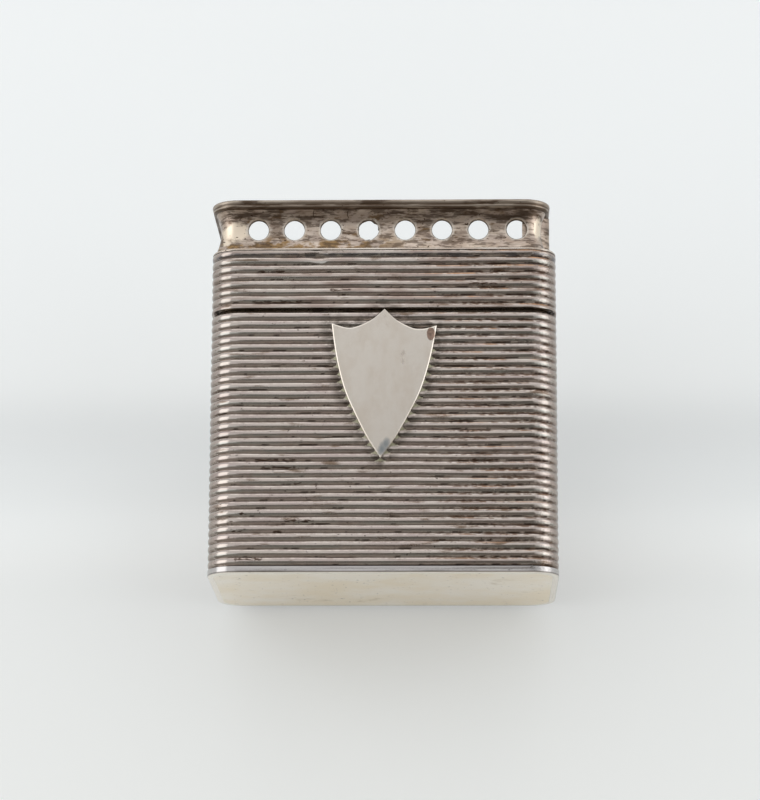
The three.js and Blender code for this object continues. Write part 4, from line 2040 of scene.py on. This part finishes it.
    def build_card(self, bench: Bench) -> Piece:
        """Makes the grey card behind the camera that gives the silver its darks.

        Args:
            bench: makes the objects.

        Returns:
            The card, which the camera itself doesn't see.
        """
        points = [(x, self.card_y, z) for x, z in self.card_edge]
        card = bench.mesh("grey_card", points, [tuple(range(len(points)))])
        card.visible_camera = False
        material = bpy.data.materials.new("card_grey")
        build = empty_tree(material)
        dull = build.add("ShaderNodeBsdfDiffuse", {"Color": linear(self.card_grey)})
        build.add("ShaderNodeOutputMaterial", {"Surface": dull})
        card.data.materials.append(material)
        return card

    def build_world(self) -> None:
        """Makes the world: a pale sky over a dim room, which is pale again behind the sheet."""
        world = bpy.data.worlds.new("sky_over_room")
        build = empty_tree(world)
        way = build.wire("ShaderNodeTexCoord", "Generated")
        up = build.axis("Z", way)
        behind = build.smooth(build.axis("Y", way), *self.behind_from)
        pale = build.math("MAXIMUM", build.smooth(up, *self.sky_from), behind)
        room = build.mix(build.smooth(up, *self.room_from), self.deep_room, self.room)
        inputs = {"Color": build.mix(pale, room, self.sky), "Strength": self.world_strength}
        build.add("ShaderNodeOutputWorld", {"Surface": build.add("ShaderNodeBackground", inputs)})
        bpy.context.scene.world = world

    def build_camera(self) -> None:
        """Puts the camera at the photograph's viewing angle."""
        data = bpy.data.cameras.new("camera")
        data.lens = self.lens
        data.sensor_width = 36.0
        data.clip_start = 0.01
        camera = linked("camera", data)
        columns = Matrix((self.camera_right, self.camera_up, self.camera_back)).transposed()
        turn = columns.to_quaternion().to_matrix().to_4x4()
        camera.matrix_world = Matrix.Translation(metres(self.camera_place)) @ turn
        bpy.context.scene.camera = camera


@dataclass
class SpongeBox:
    """The whole box, from the base plate up to the rim."""

    hinge: Hinge = field(default_factory=Hinge)
    shield: Shield = field(default_factory=Shield)
    gallery: Gallery = field(default_factory=Gallery)
    foot_band: float = 0.694
    body_reeds: int = 32
    lid_reeds: float = 7.45
    lid_cut_share: float = 0.38
    seam: float = 0.4
    top_thickness: float = 0.29
    wall_inset: float = 0.6
    fit: float = 0.04
    base_fit: float = 0.005

    @property
    def mouth_z(self) -> float:
        """The height of the body's mouth."""
        return self.foot_band + self.body_reeds * REEDING.pitch

    @property
    def lid_z(self) -> float:
        """The height of the lid's lower edge."""
        return self.mouth_z + self.seam

    @property
    def lid_top_z(self) -> float:
        """The height of the lid wall's top."""
        return self.lid_z + self.lid_reeds * REEDING.pitch

    def build_body(self, bench: Bench) -> None:
        """Builds the base plate, the body's wall, its bezel and the shield.

        Args:
            bench: makes the objects.
        """
        edge = self.wall_inset + self.base_fit
        base = Plate("base", "base_plate", Body.BOX, ((edge, 0.0), (edge, 0.5)), sag=0.05)
        pale = SilverFinish(
            "base_silver",
            bright=(236, 229, 217), bloom=(230, 217, 193), tarnish=(190, 176, 150),
            streak=(0.12, 0.12, 0.3), tarnish_from=0.6, speck_from=0.67, roughness=0.28, seed=31.0,
        ).build()
        base.build(bench, pale)
        reeded = ReededFinish("reeded_body_silver", foot_top=0.18, seed=2.0).build()
        wall = Wall(
            "body_wall",
            "body_shell",
            Body.BOX,
            self.foot_band,
            self.foot_band,
            self.mouth_z,
            foot=((0.15, 0.0), (0.06, 0.035), (0.015, 0.09), (0.0, 0.15), (0.012, 0.4), (0.026, 0.6)),
            streaks=(
                (-11.8, -8.1, 10.4), (-11.1, -8.1, 9.75), (-8.0, -7.5, 8.29), (-7.6, -7.2, 11.94),
                (-11.5, -11.2, 11.76), (-14.6, -12.5, 3.84), (-14.7, -13.7, 4.58),
                (-13.3, -11.0, 1.25), (-9.0, -6.1, 4.76), (-10.1, -9.2, 3.74),
                (-13.1, -12.6, 5.42), (6.8, 10.0, 13.22), (9.4, 10.3, 15.47), (5.9, 8.6, 14.07),
                (6.8, 10.7, 10.4),
            ),
        )
        wall.build(bench, self.hinge, self.shield.footprint(bench), reeded)
        mouth = self.mouth_z
        edge = self.wall_inset + self.fit
        bezel = Ring(
            "bezel",
            ("body_bezel",),
            Body.BOX,
            Slot.BEZEL,
            (
                (edge, mouth - 2.0),
                (edge, mouth),
                (0.9, mouth + 1.6),
                (0.97, mouth + 1.84),
                (1.02, mouth + 1.9),
                (1.18, mouth + 1.9),
                (1.25, mouth + 1.8),
                (1.25, mouth - 2.0),
            ),
        )
        # near-black silver for the bezel: tarnish, and painted shade of the narrow seam that it shows
        # through
        dark = SilverFinish(
            "bezel_silver",
            bright=(120, 112, 100), bloom=(92, 82, 68), tarnish=(48, 40, 32), tarnish_from=0.5,
            seed=17.0,
        ).build()
        bezel.build(bench, PLAN.outline(), dark)
        satin = ShieldFinish(
            "shield_silver",
            bright=(214, 207, 197), bloom=(208, 199, 187), tarnish=(186, 176, 164),
            streak=(0.5, 0.5, 0.3), tarnish_from=0.64, speck_from=0.76, roughness=0.2,
            relief=0.002, seed=23.0,
        ).build()
        self.shield.build(bench, satin)

    def build_lid(self, bench: Bench) -> None:
        """Builds the lid's wall, its top plate and the gallery.

        Args:
            bench: makes the objects.
        """
        reeded = ReededFinish(
            "reeded_lid_silver",
            bloom=(162, 147, 139), foot_top=-5.0, mottled_at=(29.98, 0.24), seed=5.0,
        ).build()
        wall = Wall(
            "lid_wall",
            "lid_shell",
            Body.LID,
            self.lid_z - self.lid_cut_share * REEDING.pitch,
            self.lid_z,
            self.lid_top_z,
            streaks=(
                (-14.3, -13.7, 28.33), (-11.7, -10.9, 28.37), (-10.1, -9.2, 28.41),
                (-12.1, -7.2, 25.42), (-4.9, -3.1, 26.56), (8.0, 10.8, 27.18),
            ),
            dent_place=(-6.1, -9.0, 29.84), dent_radius=1.0, dent_depth=0.22,
        )
        wall.build(bench, self.hinge, self.shield.footprint(bench), reeded)
        low, high = self.lid_top_z, self.lid_top_z + self.top_thickness
        top = Plate(
            "lid_top",
            "lid_top_plate",
            Body.LID,
            (
                (0.13, low),
                (0.07, low + 0.03),
                (0.05, low + 0.08),
                (0.055, low + 0.14),
                (0.08, low + 0.2),
                (0.13, low + 0.25),
                (0.21, low + 0.28),
                (0.32, high),
            ),
        )
        bead = BandedFinish(
            "lid_top_silver",
            bright=(214, 206, 196), bloom=(188, 174, 160), tarnish=(146, 132, 118),
            lines=((low + 0.01, 0.1),),
            line_colour=(78, 72, 70), seed=41.0,
        ).build()
        top.build(bench, bead)
        neck = GalleryFinish(
            "gallery_silver",
            bright=(206, 192, 178), bloom=(176, 160, 148), tarnish=(112, 92, 72),
            streak=(0.35, 0.35, 0.8), tarnish_from=0.56, speck_from=0.64, roughness=0.31,
            seed=51.0,
        ).build()
        rim_z = self.gallery.foot_z + self.gallery.height
        # a darker silver with dark lines in the rim's groove and at its foot: tarnish, and painted
        # shade of the rim's underside
        rim = BandedFinish(
            "rim_silver",
            bright=(168, 157, 144), bloom=(136, 123, 110), roughness=0.32, tarnish=(92, 78, 66),
            tarnish_from=0.5,
            lines=((rim_z + 0.38, 0.14), (rim_z + 0.06, 0.24)),
            seed=61.0,
        ).build()
        self.gallery.build(bench, neck, rim)

    def build(self, bench: Bench) -> None:
        """Builds every piece of the box.

        Args:
            bench: makes the objects.
        """
        self.build_body(bench)
        self.build_lid(bench)
        plain = SilverFinish("hinge_silver", bright=(200, 190, 178), seed=71.0).build()
        self.hinge.build(bench, plain)


def main() -> None:
    """Builds the scene."""
    logging.basicConfig(level=logging.INFO, format="%(name)s: %(message)s", stream=sys.stdout)
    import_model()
    bench = Bench()
    SpongeBox().build(bench)
    Studio().build(bench)
    bench.clear()


if __name__ == "__main__":
    main()
